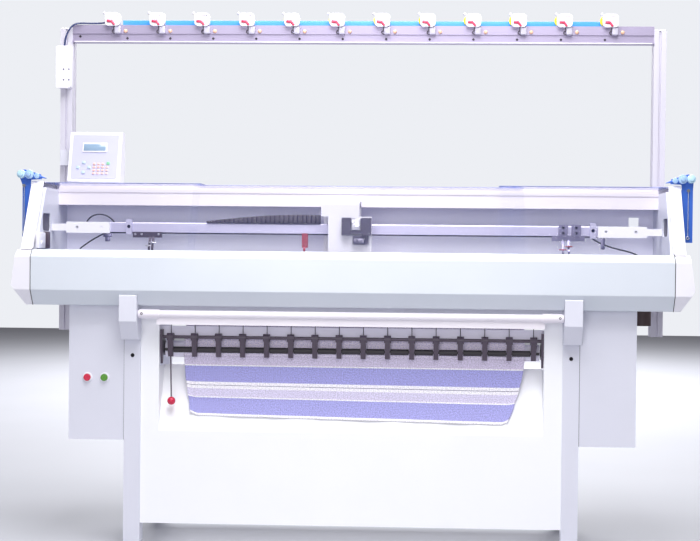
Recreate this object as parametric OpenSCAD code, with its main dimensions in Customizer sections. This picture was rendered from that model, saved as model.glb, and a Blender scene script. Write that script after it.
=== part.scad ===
// V-bed flat knitting machine on four legs, with its yarn gantry behind it.
// Millimetres. X runs along the beds, -Y faces the operator, Z is up.
// The origin is on the floor, under the middle of the machine.

/* [Overall] */
// Depth from the front casing to the rear casing
depth = 700; // [690:1:740]
// Room past each end of the beds, where the carriage runs out
end_room = 435.2; // [420:0.1:460]

/* [Stand] */
// Side of the square leg tube
leg_tube = 60; // [56:1:64]
// Wall of the leg tube
leg_wall = 4; // [3:0.5:6]
// Height of the frame's underside above the floor
frame_z = 876; // [840:1:920]
// Side of the square tubes of the base frame
frame_tube = 60; // [58:1:64]
// Wall of the base frame's tubes
frame_wall = 4; // [3:0.5:6]
// Set-back of the front legs behind the front casing
leg_setback = 84; // [82:1:90]
// Height of a levelling foot
foot_h = 30; // [26:1:40]
// Radius of a levelling foot's pad
foot_r = 30; // [24:1:36]
// Side of the lower stretcher tubes
stretcher_tube = 40; // [30:1:50]
// Height of the lower stretchers above the floor
stretcher_z = 130; // [110:1:180]
// Width of a leg bracket
bracket_w = 64; // [64:1:70]

/* [Beds] */
// Distance from the front casing to the gap between the beds
bed_setback = 220; // [216:1:226]
// Width of a needle bed, measured down its slope
bed_w = 160; // [154:1:164]
// Thickness of a needle bed
bed_t = 14; // [12:0.5:15]
// Number of needles in each bed
needles = 162; // [120:1:166]
// Distance from one needle to the next
needle_pitch = 8.4667; // [7:0.0001:9]
// Length of bed past the last needle
bed_margin = 34; // [24:1:44]
// Width of a needle
needle_t = 1.4; // [1:0.1:2]
// Depth of the trick that holds a needle
trick_depth = 5; // [4:0.5:6]
// Wall of the bed carrier casting
carrier_wall = 12; // [9:1:14]
// Width of the slot that the fabric falls through
fabric_slot = 26; // [24:1:30]
// Width of a carriage rail
rail_w = 21; // [18:1:22]
// Height of a carriage rail
rail_h = 20; // [16:1:20]

/* [Carriage] */
// Place of the carriage along the beds
carriage_x = -10.5; // [-60:0.5:60]
// Length of a cam box
cam_box_l = 420; // [380:1:440]
// Height of a cam box over the bed
cam_box_h = 38; // [32:1:40]
// Width of the bow that joins the two cam boxes
bow_w = 160; // [150:1:180]
// Thickness of the bow
bow_t = 12; // [10:1:14]
// Height of the bow above the bed gap
bow_h = 202; // [196:1:206]

/* [Casing] */
// Thickness of the casing sheet
sheet = 2; // [1.5:0.5:3]
// Height of the casing's underside above the frame's underside
casing_lift = 23; // [20:1:25]
// Height of the front casing
casing_h = 201; // [198:1:206]
// Run of the bevel under the front casing
bevel_run = 36; // [30:1:60]
// Rise of the bevel under the front casing
bevel_rise = 55; // [48:1:60]
// Thickness of a side plate
plate_t = 12; // [10:1:14]
// Wall of the moulded end caps and side covers
cap_wall = 3; // [2:0.5:4]
// Width of a side cover
cover_w = 40; // [36:1:46]
// Reach of an end cap past the side plate
cap_reach = 70; // [64:1:76]

/* [Windows] */
// Height of the windows above the casing's ledge
window_h = 250; // [246:1:258]
// Lean of the windows from bottom to top
window_lean = 132; // [124:1:136]
// Thickness of the acrylic sheet
acrylic_t = 3; // [2:0.5:4]
// Width of the left window
left_window_w = 584; // [560:1:600]
// Width of the right window
right_window_w = 612; // [590:1:620]
// Overlap of the left and centre windows
left_lap = 25; // [20:1:60]
// Overlap of the centre and right windows
right_lap = 88; // [20:1:120]

/* [Take-down] */
// Radius of the main roller
roller_r = 30; // [26:1:32]
// Radius of the pressure rollers
press_r = 11; // [9:0.5:11]
// Number of pressing arms
arms = 16; // [8:1:18]
// From the edge of the apron's opening to the outer pressing arm
arm_margin = 36; // [30:1:50]
// Room past the last needle at each side of the apron's opening
field_margin = 16.2; // [14:0.1:24]
// Width of the apron's border beside its opening
apron_border = 67; // [60:1:80]
// Thickness of the knitted sample
fabric_t = 3; // [2:0.5:3]
// Idle needles at each side of the knitted sample
idle = 7; // [5:1:30]
// Radius of the start bar
bar_r = 14.5; // [12:0.5:15]
// Radius of the release knob
knob_r = 15; // [12:0.5:18]

/* [Cabinets] */
// Gap between the right cabinet and the motor
motor_gap = 7; // [5:1:30]
// Height of a cabinet
cabinet_h = 494; // [440:1:510]
// Depth of a cabinet
cabinet_d = 322; // [280:1:340]
// Radius of a push button
button_r = 13; // [10:0.5:15]
// Distance between the two push buttons
button_gap = 63; // [50:1:80]

/* [Gantry] */
// Width of a post
post_w = 48; // [44:1:50]
// Depth of a post
post_d = 60; // [56:1:64]
// Height of the posts' tops above the floor
post_top = 1985; // [1960:1:2000]
// Height of the posts' lower ends above the floor
post_bottom = 780; // [760:1:800]
// Height of the cross beam
beam_h = 69; // [64:1:76]
// Number of yarn units on the beam
units = 12; // [8:1:12]
// Distance from one yarn unit to the next
unit_pitch = 179.3; // [150:0.1:182]

/* [Panel] */
// Width of the control panel
panel_w = 206; // [190:1:210]
// Height of the control panel
panel_h = 198; // [180:1:210]

/* [Hidden] */

// Clearances
running = 0.05;
sliding = 0.5;
free_gap = 0.3;

// Depth datums
front_y = -depth / 2;
rear_y = depth / 2;
leg_front_y = front_y + leg_setback;
bed_y = front_y + bed_setback;
beam_back_y = rear_y - sheet;

// Height datums
frame_top = frame_z + frame_tube;
casing_z = frame_z + casing_lift;
casing_top = casing_z + casing_h;
gap_z = casing_top - 12;
window_z = casing_top + window_h;

// Width datums, from the field of needles outwards
field = needles * needle_pitch;
bed_l = field + 2 * bed_margin;
frame_w = 2 * round(bed_l / 2 + end_room);
plate_in = frame_w / 2 - plate_t;
plate_out = frame_w / 2;
cutout_half = field / 2 + field_margin;
leg_in = cutout_half + apron_border;
leg_x = leg_in + leg_tube / 2;
leg_out = leg_in + leg_tube;
fabric_w = field - 2 * idle * needle_pitch;
arm_pitch = 2 * (cutout_half - arm_margin) / (arms - 1);

// Slope of both beds
c45 = sqrt(0.5);
nose = 5;
nose_cut = 13;
rack_travel = 12.7;

// A point of the front bed: s runs down its slope, n stands square off its face
function bed_point(s, n) = [bed_y - nose - (s + n) * c45, gap_z - (s - n) * c45];
function mirrored(points) = [for (p = points) [2 * bed_y - p[0], p[1]]];

function normal(a, b) = let (d = (b - a) / norm(b - a)) [-d[1], d[0]];
function shifted(p, i, t) =
    i == 0 ? p[0] + t * normal(p[0], p[1])
    : i == len(p) - 1 ? p[i] + t * normal(p[i - 1], p[i])
    : let (m = normal(p[i - 1], p[i]), n = normal(p[i], p[i + 1])) p[i] + t * (m + n) / (1 + m * n);
function side_of(p, t) = [for (i = [0:len(p) - 1]) shifted(p, i, t)];
function reversed(p) = [for (i = [len(p) - 1:-1:0]) p[i]];

// Outline of a folded sheet that lies on the right of its path
function folded(p, t) = concat(p, reversed(side_of(p, -t)));

// A bend of radius r in place of the corner b between a and c
function bend(a, b, c, r, steps = 4) =
    let (
        u = (a - b) / norm(a - b),
        v = (c - b) / norm(c - b),
        half = acos(u * v) / 2,
        centre = b + (u + v) / norm(u + v) * r / sin(half),
        start = b + u * r / tan(half) - centre,
        end = b + v * r / tan(half) - centre,
        from = atan2(start[1], start[0]),
        turn = (atan2(end[1], end[0]) - from + 540) % 360 - 180
    )
    [for (i = [0:steps]) centre + r * [cos(from + turn * i / steps), sin(from + turn * i / steps)]];
function looped(p, r) =
    let (n = len(p)) [for (i = [0:n - 1]) each bend(p[(i + n - 1) % n], p[i], p[(i + 1) % n], r)];
function bent(p, r) =
    [for (i = [0:len(p) - 1]) each i == 0 || i == len(p) - 1 ? [p[i]] : bend(p[i - 1], p[i], p[i + 1], r)];

module along_x(w) {
    rotate([90, 0, 90]) linear_extrude(w, center = true) children();
}

module along_y(from, to) {
    translate([0, to, 0]) rotate([90, 0, 0]) linear_extrude(to - from) children();
}

module both_ends() {
    children();
    mirror([1, 0, 0]) children();
}

module both_beds() {
    children();
    translate([0, 2 * bed_y, 0]) mirror([0, 1, 0]) children();
}

// A box between two corners
module block(from, to) {
    translate(from) cube(to - from);
}

// A round bar along X between two ends
module bar_x(from, to, y, z, r) {
    translate([from, y, z]) rotate([0, 90, 0]) cylinder(r = r, h = to - from, $fn = 64);
}

// A round bar along Y between two ends
module bar_y(x, from, to, z, r) {
    translate([x, from, z]) rotate([-90, 0, 0]) cylinder(r = r, h = to - from, $fn = 64);
}

module rounded_square(w, h, r) {
    square([w - 2 * r, h], center = true);
    square([w, h - 2 * r], center = true);
    for (x = [-1, 1], y = [-1, 1]) translate([x * (w / 2 - r), y * (h / 2 - r)]) circle(r = r, $fn = 48);
}

// Levelling feet screw up into the closed lower ends of the legs
foot_stud_r = 8;
foot_stud_h = 20;
front_leg_y = leg_front_y + leg_tube / 2;
rear_leg_y = beam_back_y - leg_tube / 2;

module at_legs() {
    for (x = [-leg_x, leg_x], y = [front_leg_y, rear_leg_y]) translate([x, y, 0]) children();
}

module legs() {
    inner = leg_tube - 2 * leg_wall;
    color("#dfe4e8") at_legs() difference() {
        translate([-leg_tube / 2, -leg_tube / 2, foot_h]) cube([leg_tube, leg_tube, frame_z - foot_h]);
        translate([-inner / 2, -inner / 2, foot_h + leg_wall]) cube([inner, inner, frame_z]);
        translate([0, 0, foot_h - 1]) cylinder(r = foot_stud_r + running, h = leg_wall + 2, $fn = 48);
    }
}

module levelling_feet() {
    nut_h = 8;
    pad_h = 10;
    color("#3c3a40") at_legs() {
        rotate_extrude($fn = 72) polygon([
            [0, 0], [foot_r - 2, 0], [foot_r, 2], [foot_r, pad_h - 3], [foot_r - 6, pad_h],
            [foot_stud_r + 4, pad_h + 2], [foot_stud_r, pad_h + 2], [foot_stud_r, foot_h + foot_stud_h],
            [0, foot_h + foot_stud_h]
        ]);
        translate([0, 0, foot_h - nut_h]) cylinder(r = 15, h = nut_h, $fn = 6);
    }
}

// The cast brackets stand in front of the legs and carry the start bar's pivots
bar_y0 = front_y + 32;
bar_z = frame_z - 6;
pivot_r = 6;
pivot_l = 12;
bracket_drop = 101;
bracket_gap = 1;
bracket_in = leg_x - bracket_w / 2;

module leg_brackets() {
    top = casing_z - 2;
    foot = frame_z - bracket_drop;
    outline = bent([
        [leg_front_y, foot], [front_y + bevel_run + 8, foot], [front_y + bracket_gap, foot + 68],
        [front_y + bracket_gap, casing_z + bevel_rise - 3], [front_y + bevel_run, top], [leg_front_y, top]
    ], 5);
    color("#dfe4e8") both_ends() difference() {
        translate([leg_x, 0, 0]) along_x(bracket_w) polygon(outline);
        bar_x(bracket_in - 1, bracket_in + pivot_l + bracket_gap + 1, bar_y0, bar_z, pivot_r + running);
    }
}

// The welded base frame: two long tubes and two cross tubes over the legs
module base_frame() {
    h = frame_tube;
    w = frame_wall;
    back = beam_back_y - leg_tube;
    fore = leg_front_y + leg_tube;
    color("#c9ced4") difference() {
        union() {
            block([-leg_out, leg_front_y, frame_z], [leg_out, fore, frame_top]);
            block([-plate_in, back, frame_z], [plate_in, beam_back_y, frame_top]);
            for (x = [-leg_x, leg_x]) block([x - h / 2, fore, frame_z], [x + h / 2, back, frame_top]);
        }
        block([-leg_out - 1, leg_front_y + w, frame_z + w], [leg_out + 1, fore - w, frame_top - w]);
        block([-plate_in - 1, back + w, frame_z + w], [plate_in + 1, beam_back_y - w, frame_top - w]);
        for (x = [-leg_x, leg_x])
            block([x - h / 2 + w, fore - 2 * w, frame_z + w], [x + h / 2 - w, back + 2 * w, frame_top - w]);
    }
}

module leg_stretchers() {
    s = stretcher_tube;
    z = stretcher_z;
    w = frame_wall;
    fore = leg_front_y + leg_tube;
    back = beam_back_y - leg_tube;
    color("#c9ced4") {
        both_ends() difference() {
            block([leg_x - s / 2, fore, z], [leg_x + s / 2, back, z + s]);
            block([leg_x - s / 2 + w, fore - 1, z + w], [leg_x + s / 2 - w, back + 1, z + s - w]);
        }
        difference() {
            block([-leg_in, rear_leg_y - s / 2, z], [leg_in, rear_leg_y + s / 2, z + s]);
            block([-leg_in - 1, rear_leg_y - s / 2 + w, z + w], [leg_in + 1, rear_leg_y + s / 2 - w, z + s - w]);
        }
    }
}

// Front casing: bottom return, bevel, face, chamfer and ledge, folded from one sheet
ledge_run = 60;
chamfer = 25;
ledge_lip = [front_y + ledge_run, casing_top - 14];
front_skin = bent([
    [leg_front_y, casing_z], [front_y + bevel_run, casing_z], [front_y, casing_z + bevel_rise],
    [front_y, casing_top - chamfer], [front_y + chamfer, casing_top], [front_y + ledge_run, casing_top]
], 8);

// Rear wall and rear casing
wall_y = bed_y + 237;
wall_top = window_z - 20;
rear_lip_z = casing_top + 80;
rear_skin = bent([
    [wall_y + free_gap, rear_lip_z], [rear_y - 50, rear_lip_z - 20], [rear_y, rear_lip_z - 70], [rear_y, frame_z]
], 8);

module front_casing() {
    color("#e6eef0") along_x(frame_w - 2) polygon(folded(concat(front_skin, [ledge_lip]), sheet));
}

module rear_casing() {
    color("#e6eef0") along_x(frame_w - 2) polygon(folded(rear_skin, sheet));
}

// Side plates close the machine at both ends and carry beds, rails, casings and posts
window_dir = [window_lean, window_h] / norm([window_lean, window_h]);
tower_foot = [front_y + ledge_run - 20, casing_top];
tower_h = window_h - 19;
tower_head = [tower_foot[0] + tower_h * window_lean / window_h, casing_top + tower_h];
shelf_z = frame_top + 49;
shelf_t = 12;
pulley_x = plate_in - 48;
motor_r = 38;
motor_box = 16;
pulley_y = bed_y + 195;
pulley_r = 24;
shaft_r = 8;
hand_hole = [102, 66];
hand_hole_y = front_y + 169;
hand_hole_z = casing_top + 102;

module side_plates() {
    heel_y = beam_back_y - leg_tube - 4;
    outline = concat(
        side_of(concat(front_skin, [ledge_lip]), -sheet),
        [ledge_lip, [ledge_lip[0], casing_top], tower_foot, tower_head, [wall_y, tower_head[1]]],
        side_of(rear_skin, -sheet), [[heel_y, frame_z], [heel_y, casing_z + sheet]]
    );
    color("#d9dbe6") both_ends() difference() {
        union() {
            translate([plate_out - plate_t / 2, 0, 0]) along_x(plate_t) polygon(outline);
            block([plate_in - 123, bed_y + 138, shelf_z], [plate_in, wall_y - sheet - 1, shelf_z + shelf_t]);
        }
        translate([plate_out, hand_hole_y, hand_hole_z]) along_x(3 * plate_t)
            rounded_square(hand_hole[0], hand_hole[1], 16);
        translate([pulley_x, pulley_y, shelf_z - 1]) cylinder(r = shaft_r + running, h = shelf_t + 2, $fn = 64);
    }
}

// Bed carrier: two hollow wedges, joined past the ends of the beds
carrier_front_y = bed_point(bed_w, -bed_t)[0];
carrier_edge = 2 * bed_y - (bed_y + fabric_slot / 2);

module bed_carrier() {
    low_z = bed_point(bed_w, -bed_t)[1];
    peak_z = low_z + carrier_edge - carrier_front_y;
    w = carrier_wall;
    skew = w * (1 + sqrt(2));
    joint_x = bed_l / 2 + rack_travel + 38;
    color("#8f949c") {
        both_beds() along_x(2 * plate_in) difference() {
            polygon([
                [carrier_edge, peak_z], [carrier_front_y, low_z], [carrier_front_y, frame_top],
                [carrier_edge, frame_top]
            ]);
            polygon([
                [carrier_edge - w, peak_z - skew], [carrier_front_y + skew - w / 4, low_z - w / 4],
                [carrier_front_y + skew - w / 4, frame_top + w], [carrier_edge - w, frame_top + w]
            ]);
        }
        both_ends() block(
            [joint_x, carrier_edge, frame_top], [plate_in, 2 * bed_y - carrier_edge, peak_z - 12]
        );
    }
}

// Needle beds: a comb of tricks cut down the slope, with the knock-over teeth at the gap
trick_w = needle_t + 0.8;

module needle_bed() {
    first = -(needles - 1) * needle_pitch / 2;
    comb = concat(
        [[-bed_l / 2, -bed_t], [-bed_l / 2, 0]],
        [for (i = [0:needles - 1]) let (x = first + i * needle_pitch) each [
            [x - trick_w / 2, 0], [x - trick_w / 2, -trick_depth], [x + trick_w / 2, -trick_depth],
            [x + trick_w / 2, 0]
        ]],
        [[bed_l / 2, 0], [bed_l / 2, -bed_t]]
    );
    at_front_bed() translate([0, 0, nose_cut]) linear_extrude(bed_w - nose_cut) polygon(comb);
}

module at_front_bed() {
    translate([0, bed_y - nose, gap_z]) rotate([135, 0, 0]) children();
}

module at_rear_bed() {
    translate([0, 2 * bed_y, 0]) mirror([0, 1, 0]) children();
}

// A needle: flat stem in its trick, a hook at the gap and a butt for the cams
module needle_set() {
    first = -(needles - 1) * needle_pitch / 2;
    floor_n = -trick_depth + 0.2;
    butt_s = 70;
    stem = [
        [nose_cut - 6, -1.6], [nose_cut - 6, 0.6], [nose_cut - 4, 0.6], [nose_cut - 4, -0.8], [nose_cut + 6, -0.8],
        [nose_cut + 14, -0.6], [butt_s, -0.6], [butt_s, 5], [butt_s + 6, 5], [butt_s + 6, -0.6],
        [bed_w - 20, -0.6], [bed_w - 20, floor_n], [nose_cut + 14, floor_n], [nose_cut + 6, -1.6]
    ];
    at_front_bed() for (i = [0:needles - 1])
        translate([first + i * needle_pitch, 0, 0]) rotate([0, -90, 0])
            linear_extrude(needle_t, center = true) polygon(stem);
}

module front_needle_bed() {
    color("#b9bec6") needle_bed();
}

module front_needles() {
    color("#d5d8de") needle_set();
}

module rear_needle_bed() {
    color("#b9bec6") at_rear_bed() needle_bed();
}

module rear_needles() {
    color("#d5d8de") at_rear_bed() needle_set();
}

// Ground bars on the carrier's outer faces, which the carriage runs on
rail_z = frame_top + 4;

module carriage_rails() {
    out = carrier_front_y - rail_w;
    edge = 2;
    color("#c4c8cf") both_beds() along_x(2 * plate_in) polygon([
        [carrier_front_y, rail_z], [carrier_front_y, rail_z + rail_h], [out + edge, rail_z + rail_h],
        [out, rail_z + rail_h - edge], [out, rail_z + edge], [out + edge, rail_z]
    ]);
}

// Cam boxes: each spans one bed, runs on its rail and holds the cams over the needle butts
cam_under = 8;
cam_nose = 22;
belt_t = 3;
belt_h = 16;
belt_z = shelf_z + shelf_t + 6;
belt_front_y = pulley_y - pulley_r - free_gap - belt_t;

module cam_box_section() {
    out_y = carrier_front_y - rail_w - sliding;
    top = rail_z + rail_h + sliding;
    high = cam_under + cam_box_h;
    polygon([
        bed_point(cam_nose, cam_under), bed_point(cam_nose, high - 5), bed_point(cam_nose + 5, high),
        bed_point(bed_w - 10, high), [out_y - 24, bed_point(bed_w, high)[1] + 4], [out_y - 24, rail_z + 6],
        [out_y - 18, rail_z - 2], [out_y, rail_z - 2], [out_y, top], [out_y + 11, top],
        bed_point(bed_w + 8, cam_under)
    ]);
}

module cam_boxes() {
    clamp = 30;
    shoe_y = 2 * bed_y - (carrier_front_y - rail_w - sliding - 24);
    color("#e8e8f0") translate([carriage_x, 0, 0]) {
        both_beds() difference() {
            along_x(cam_box_l) cam_box_section();
            for (x = [-1, 1]) translate([x * cam_box_l / 2, 0, 0]) along_x(60) polygon([
                bed_point(cam_nose - 4, cam_under + 22), bed_point(cam_nose - 4, cam_under + cam_box_h + 4),
                bed_point(bed_w - 30, cam_under + cam_box_h + 4), bed_point(bed_w - 30, cam_under + 22)
            ]);
        }
        block([-clamp, shoe_y, belt_z - 4], [clamp, belt_front_y - free_gap, belt_z + belt_h + 6]);
        block(
            [-clamp, shoe_y, belt_z + belt_h + free_gap],
            [clamp, belt_front_y + belt_t + free_gap + 5, belt_z + belt_h + 6]
        );
        block(
            [-clamp, belt_front_y + belt_t + free_gap, belt_z],
            [clamp, belt_front_y + belt_t + free_gap + 5, belt_z + belt_h + 6]
        );
    }
}

// The bow bridges the yarn rail and joins the front cam box to the rear one
bow_front_y = bed_y - 70;
bow_top = gap_z + bow_h;
bow_step = bow_top - 58;
bow_x = carriage_x;

module bow_section() {
    high = cam_under + cam_box_h + running;
    a = bow_front_y;
    b = bow_front_y + bow_t;
    c = 2 * bed_y - b;
    d = 2 * bed_y - a;
    seat_a = bed_point(0, high)[1] - (bed_point(0, high)[0] - a);
    polygon(concat(
        [[a, seat_a], [b, seat_a + bow_t], [b, bow_top - bow_t - 8], [b + 8, bow_top - bow_t]],
        [[c - 8, bow_top - bow_t], [c, bow_top - bow_t - 8], [c, seat_a + bow_t], [d, seat_a]],
        bend([d, seat_a], [d, bow_top], [a, bow_top], 14), bend([d, bow_top], [a, bow_top], [a, seat_a], 14)
    ));
}

module carriage_bow() {
    upper = 141;
    upper_x = -36;
    color("#f2f0f4") translate([bow_x, 0, 0]) union() {
        intersection() {
            along_x(bow_w) bow_section();
            block([-bow_w, bow_front_y - 1, gap_z - 40], [bow_w, bow_front_y + bow_t, bow_step]);
        }
        translate([upper_x, 0, 0]) intersection() {
            along_x(upper) bow_section();
            union() {
                block([-upper, bow_front_y - 1, bow_step - 0.5], [upper, bow_front_y + 200, bow_top + 1]);
                block([-upper, bow_front_y + bow_t, gap_z - 40], [upper, bow_front_y + 200, bow_top + 1]);
            }
        }
    }
}

// Ribbed black grips on the front of the bow, the steel clasp between them and the lever below
module carriage_grips() {
    face = bow_front_y;
    color("#3a3438") translate([bow_x, 0, 0]) {
        for (x = [-12, 62]) difference() {
            block([x - 17, face - 26, bow_step - 70], [x + 17, face, bow_step - 5]);
            for (i = [0:6]) translate([x, face - 27, bow_step - 63 + i * 8.5]) cube([40, 6, 3.5], center = true);
        }
        block([5, face - 14, bow_step - 66], [45, face, bow_step - 7]);
        block([11, face - 12, bow_step - 103], [69, face, bow_step - 70]);
    }
}

// Aluminium top rail with two steps for the windows' rear edges
top_rail_y = bed_y + 110;
top_rail_d = 45;
rail_steps = [window_z - 2 * acrylic_t - 3 - free_gap, window_z - acrylic_t - free_gap];
top_rail_z = casing_top + 173;

module top_rail() {
    y = top_rail_y;
    z = top_rail_z;
    back = y + top_rail_d;
    neck = window_z - 20;
    color("#e8dde6") along_x(2 * plate_in) difference() {
        polygon([
            [y, z], [back, z], [back, neck], [y + 25, neck], [y + 25, rail_steps[1]], [y + 12, rail_steps[1]],
            [y + 12, rail_steps[0]], [y + 2, rail_steps[0]], [y + 2, neck + 4], [y - 2, neck + 4],
            [y - 2, neck - 8], [y + 3, neck - 8], [y + 3, neck - 12], [y, neck - 12]
        ]);
        translate([y + 6, z + 3]) square([36, neck - z - 6]);
    }
}

// Flat yarn rail with bevelled edges, and the two stops clamped on it
yarn_z = casing_top + 64;
yarn_h = 42;
yarn_y = bed_y + 30;
yarn_t = 10;
yarn_end = plate_in - 56;
stop_w = 22;
stops = [-yarn_end + 237, yarn_end - 198];

module yarn_rail() {
    y = yarn_y;
    z = yarn_z;
    h = yarn_h;
    color("#b8b6c4") {
        along_x(2 * yarn_end) polygon([
            [y, z + 4], [y + 3, z], [y + 7, z], [y + yarn_t, z + 4], [y + yarn_t, z + h - 4], [y + 7, z + h],
            [y + 3, z + h], [y, z + h - 4]
        ]);
        for (x = stops) block([x - stop_w / 2, y - 11, z - 4], [x + stop_w / 2, y + 0.5, z + h + 12]);
    }
}

module yarn_rail_brackets() {
    color("#f4f2f6") {
        mirror([1, 0, 0]) yarn_rail_bracket(164);
        yarn_rail_bracket(180);
    }
}

module yarn_rail_bracket(l) {
    y = yarn_y;
    z = yarn_z;
    difference() {
        union() {
            block([yarn_end - l, y - 12, z], [yarn_end + 1, y, z + yarn_h]);
            block([yarn_end + 0.5, y - 12, z + 8], [plate_in, y + yarn_t, z + yarn_h - 8]);
        }
        for (x = [l - 30, 40]) bar_y(yarn_end - x, y - 13, y - 9, z + yarn_h / 2, 6);
    }
}

// Feeders hang on the front of the yarn rail; each nozzle ends over the gap between the beds
nozzle_z = gap_z + 9;

module feeder(x, w, plate_h, nozzles) {
    y = yarn_y - sliding;
    z = yarn_z;
    translate([x, 0, 0]) {
        block([-w / 2, y - 10, z - plate_h], [w / 2, y, z + 6]);
        block([-w / 2, y - 10, z - plate_h], [w / 2, y + 8, z - sliding - 1]);
        for (n = nozzles) translate([n, 0, 0]) {
            along_x(8) polygon([
                [y - 10, z - plate_h + 4], [y - 4, z - plate_h + 2], [bed_y + 3, nozzle_z + 12],
                [bed_y + 3, nozzle_z + 5], [bed_y - 3, nozzle_z + 5], [bed_y - 3, nozzle_z + 14]
            ]);
            translate([0, bed_y, nozzle_z]) cylinder(r1 = 1.6, r2 = 3, h = 8, $fn = 32);
        }
    }
}

left_feeder_x = stops[0] + 69;
middle_feeder_x = -185;
right_feeder_x = stops[1] - 91;

module left_feeder() {
    color("#4a424c") feeder(left_feeder_x, 108, 15, [12, 24]);
}

module middle_feeder() {
    color("#a04050") feeder(middle_feeder_x, 22, 48, [0]);
}

module right_feeder() {
    color("#8a86a0") {
        feeder(right_feeder_x, 120, 14, [-21, 0]);
        for (x = [-20, 28]) translate([right_feeder_x + x, 0, 0])
            block([-17, yarn_y - sliding - 24, yarn_z + 4], [17, yarn_y - sliding - 9, yarn_z + yarn_h + 4]);
    }
}

// Moulded end caps continue the casing's profile past the side plates
cap_back_y = rear_y - 145;

module cap_solid(skin, grow, x_from) {
    e = grow;
    intersection() {
        translate([plate_out + cap_reach / 2, 0, 0]) along_x(cap_reach + 40) polygon(concat(
            skin, [[cap_back_y + e, casing_top + e], [cap_back_y + e, casing_z - e]]
        ));
        along_y(front_y - 1, rear_y) polygon([
            [x_from, casing_z - e], [plate_out + 25 + e, casing_z - e], [plate_out + cap_reach + e, casing_z + 73],
            [plate_out + 53 + e, casing_top + e], [x_from, casing_top + e]
        ]);
    }
}

module end_caps() {
    color("#e3e1ee") both_ends() difference() {
        cap_solid(front_skin, 0, plate_out);
        cap_solid(side_of(front_skin, -cap_wall), -cap_wall, plate_out - 5);
    }
}

// Side covers stand on the end caps and hide the side plates' towers
cover_back_y = wall_y + 5;

module cover_outline(inset) {
    run = window_lean + 2;
    slope = inset / window_dir[1];
    polygon([
        [front_y + 20 + slope, casing_top], [front_y + 20 + run + slope, window_z + 4 - inset],
        [cover_back_y - inset, window_z + 4 - inset], [cover_back_y - inset, casing_top]
    ]);
}

module side_covers() {
    color("#e9e6f0") both_ends() {
        difference() {
            translate([plate_out + cover_w / 2, 0, 0]) along_x(cover_w) cover_outline(0);
            translate([plate_out + cover_w / 2 - cap_wall, 0, 0]) along_x(cover_w) cover_outline(cap_wall);
        }
        for (y = [bed_y - 20, bed_y + 180])
            bar_x(plate_out, plate_out + cover_w - cap_wall + 0.5, y, casing_top + 190, 8);
    }
}

// Rear wall: sheet behind the carriage, with a cable opening near its right end
module rear_wall() {
    color("#d6d4f2") difference() {
        along_x(2 * plate_in) polygon(folded([
            [top_rail_y + top_rail_d, wall_top], [wall_y, wall_top], [wall_y, frame_top]
        ], sheet));
        block([plate_in - 94, wall_y - 10, casing_top + 103], [plate_in - 56, wall_y + 10, casing_top + 146]);
    }
}

// Windows: bent acrylic that runs on the ledge and on the top rail, in two tracks
window_foot = [front_y + 28, casing_top];
window_end = plate_in + 7;
window_bend = 12;
centre_window_w = 2 * window_end - left_window_w - right_window_w + left_lap + right_lap;

module window(from, w, inner) {
    step = inner ? acrylic_t + 3 : 0;
    rear = inner ? top_rail_y + 6 : top_rail_y + 24;
    path = bent([window_foot - 20 * window_dir, window_foot + [window_lean, window_h], [rear, window_z]], window_bend);
    translate([from + w / 2, 0, 0]) intersection() {
        along_x(w) polygon(folded(side_of(path, -step), acrylic_t));
        block([-w, front_y, casing_top + free_gap], [w, rear_y, window_z + 1]);
    }
}

module left_window() {
    color([0.8, 0.85, 1, 0.4]) window(-window_end, left_window_w, false);
}

module centre_window() {
    color([0.8, 0.85, 1, 0.4]) window(-window_end + left_window_w - left_lap, centre_window_w, true);
}

module right_window() {
    color([0.8, 0.85, 1, 0.4]) window(window_end - right_window_w, right_window_w, false);
}

// Start bar: a tube with a hanging lip, turned about the pins in the leg brackets
module start_bar() {
    half = bracket_in - bracket_gap;
    color("#f0eaf2") union() {
        bar_x(-half, half, bar_y0, bar_z, bar_r);
        bar_x(-half - pivot_l, half + pivot_l, bar_y0, bar_z, pivot_r);
        block([-cutout_half + 2, bar_y0 - 3, bar_z - 38], [cutout_half - 2, bar_y0 + 1, bar_z - bar_r + 3]);
        both_ends() bar_x(half - 76, half - 6, bar_y0, bar_z, bar_r + 2.5);
    }
}

// Apron: a white sheet between the legs with a slide that guides the fabric out
apron_y = leg_front_y + 10;
apron_t = 1.5;
apron_top = frame_z - 11;
apron_bottom = 100;
slide_run = 104;
slide_h = 236;
slide_low = [apron_y, frame_z - 436];
slide_high = [slide_low[0] + slide_run, slide_low[1] + slide_h];

module apron() {
    back = apron_y + 30;
    low = apron_bottom;
    color("#fbfbff") {
        difference() {
            block([-leg_in, apron_y, low], [leg_in, apron_y + apron_t, apron_top]);
            block([-cutout_half, apron_y - 1, slide_low[1]], [cutout_half, apron_y + 3, apron_top + 1]);
        }
        along_x(2 * (cutout_half + apron_t)) polygon(folded([slide_low, slide_high], apron_t));
        both_ends() {
            translate([cutout_half + apron_t / 2, 0, 0]) along_x(apron_t) polygon([
                slide_low, slide_high, [apron_y, slide_high[1]]
            ]);
            block([leg_in - apron_t, apron_y, low], [leg_in, back, apron_top]);
            block([cutout_half, apron_y, slide_high[1]], [cutout_half + apron_t, back - 10, apron_top]);
        }
        block([-leg_in, apron_y, low], [leg_in, apron_y + 16, low + apron_t]);
    }
}

// Take-down: the plate, its end brackets, the main roller and the swinging pressure rollers
plate_z = frame_z - 90;
plate_h = 37;
plate_y = leg_front_y + 54;
plate_sheet = 3;
shaft = [leg_front_y + 38, frame_z - 93];
shaft_rod_r = 6;
roller = [leg_front_y + 90, frame_z - 140];
press = [roller[0] - roller_r - fabric_t - 2 * free_gap - press_r, roller[1]];
journal_r = 8;
press_shaft_r = 5;
bracket_face = cutout_half - 8;

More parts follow.
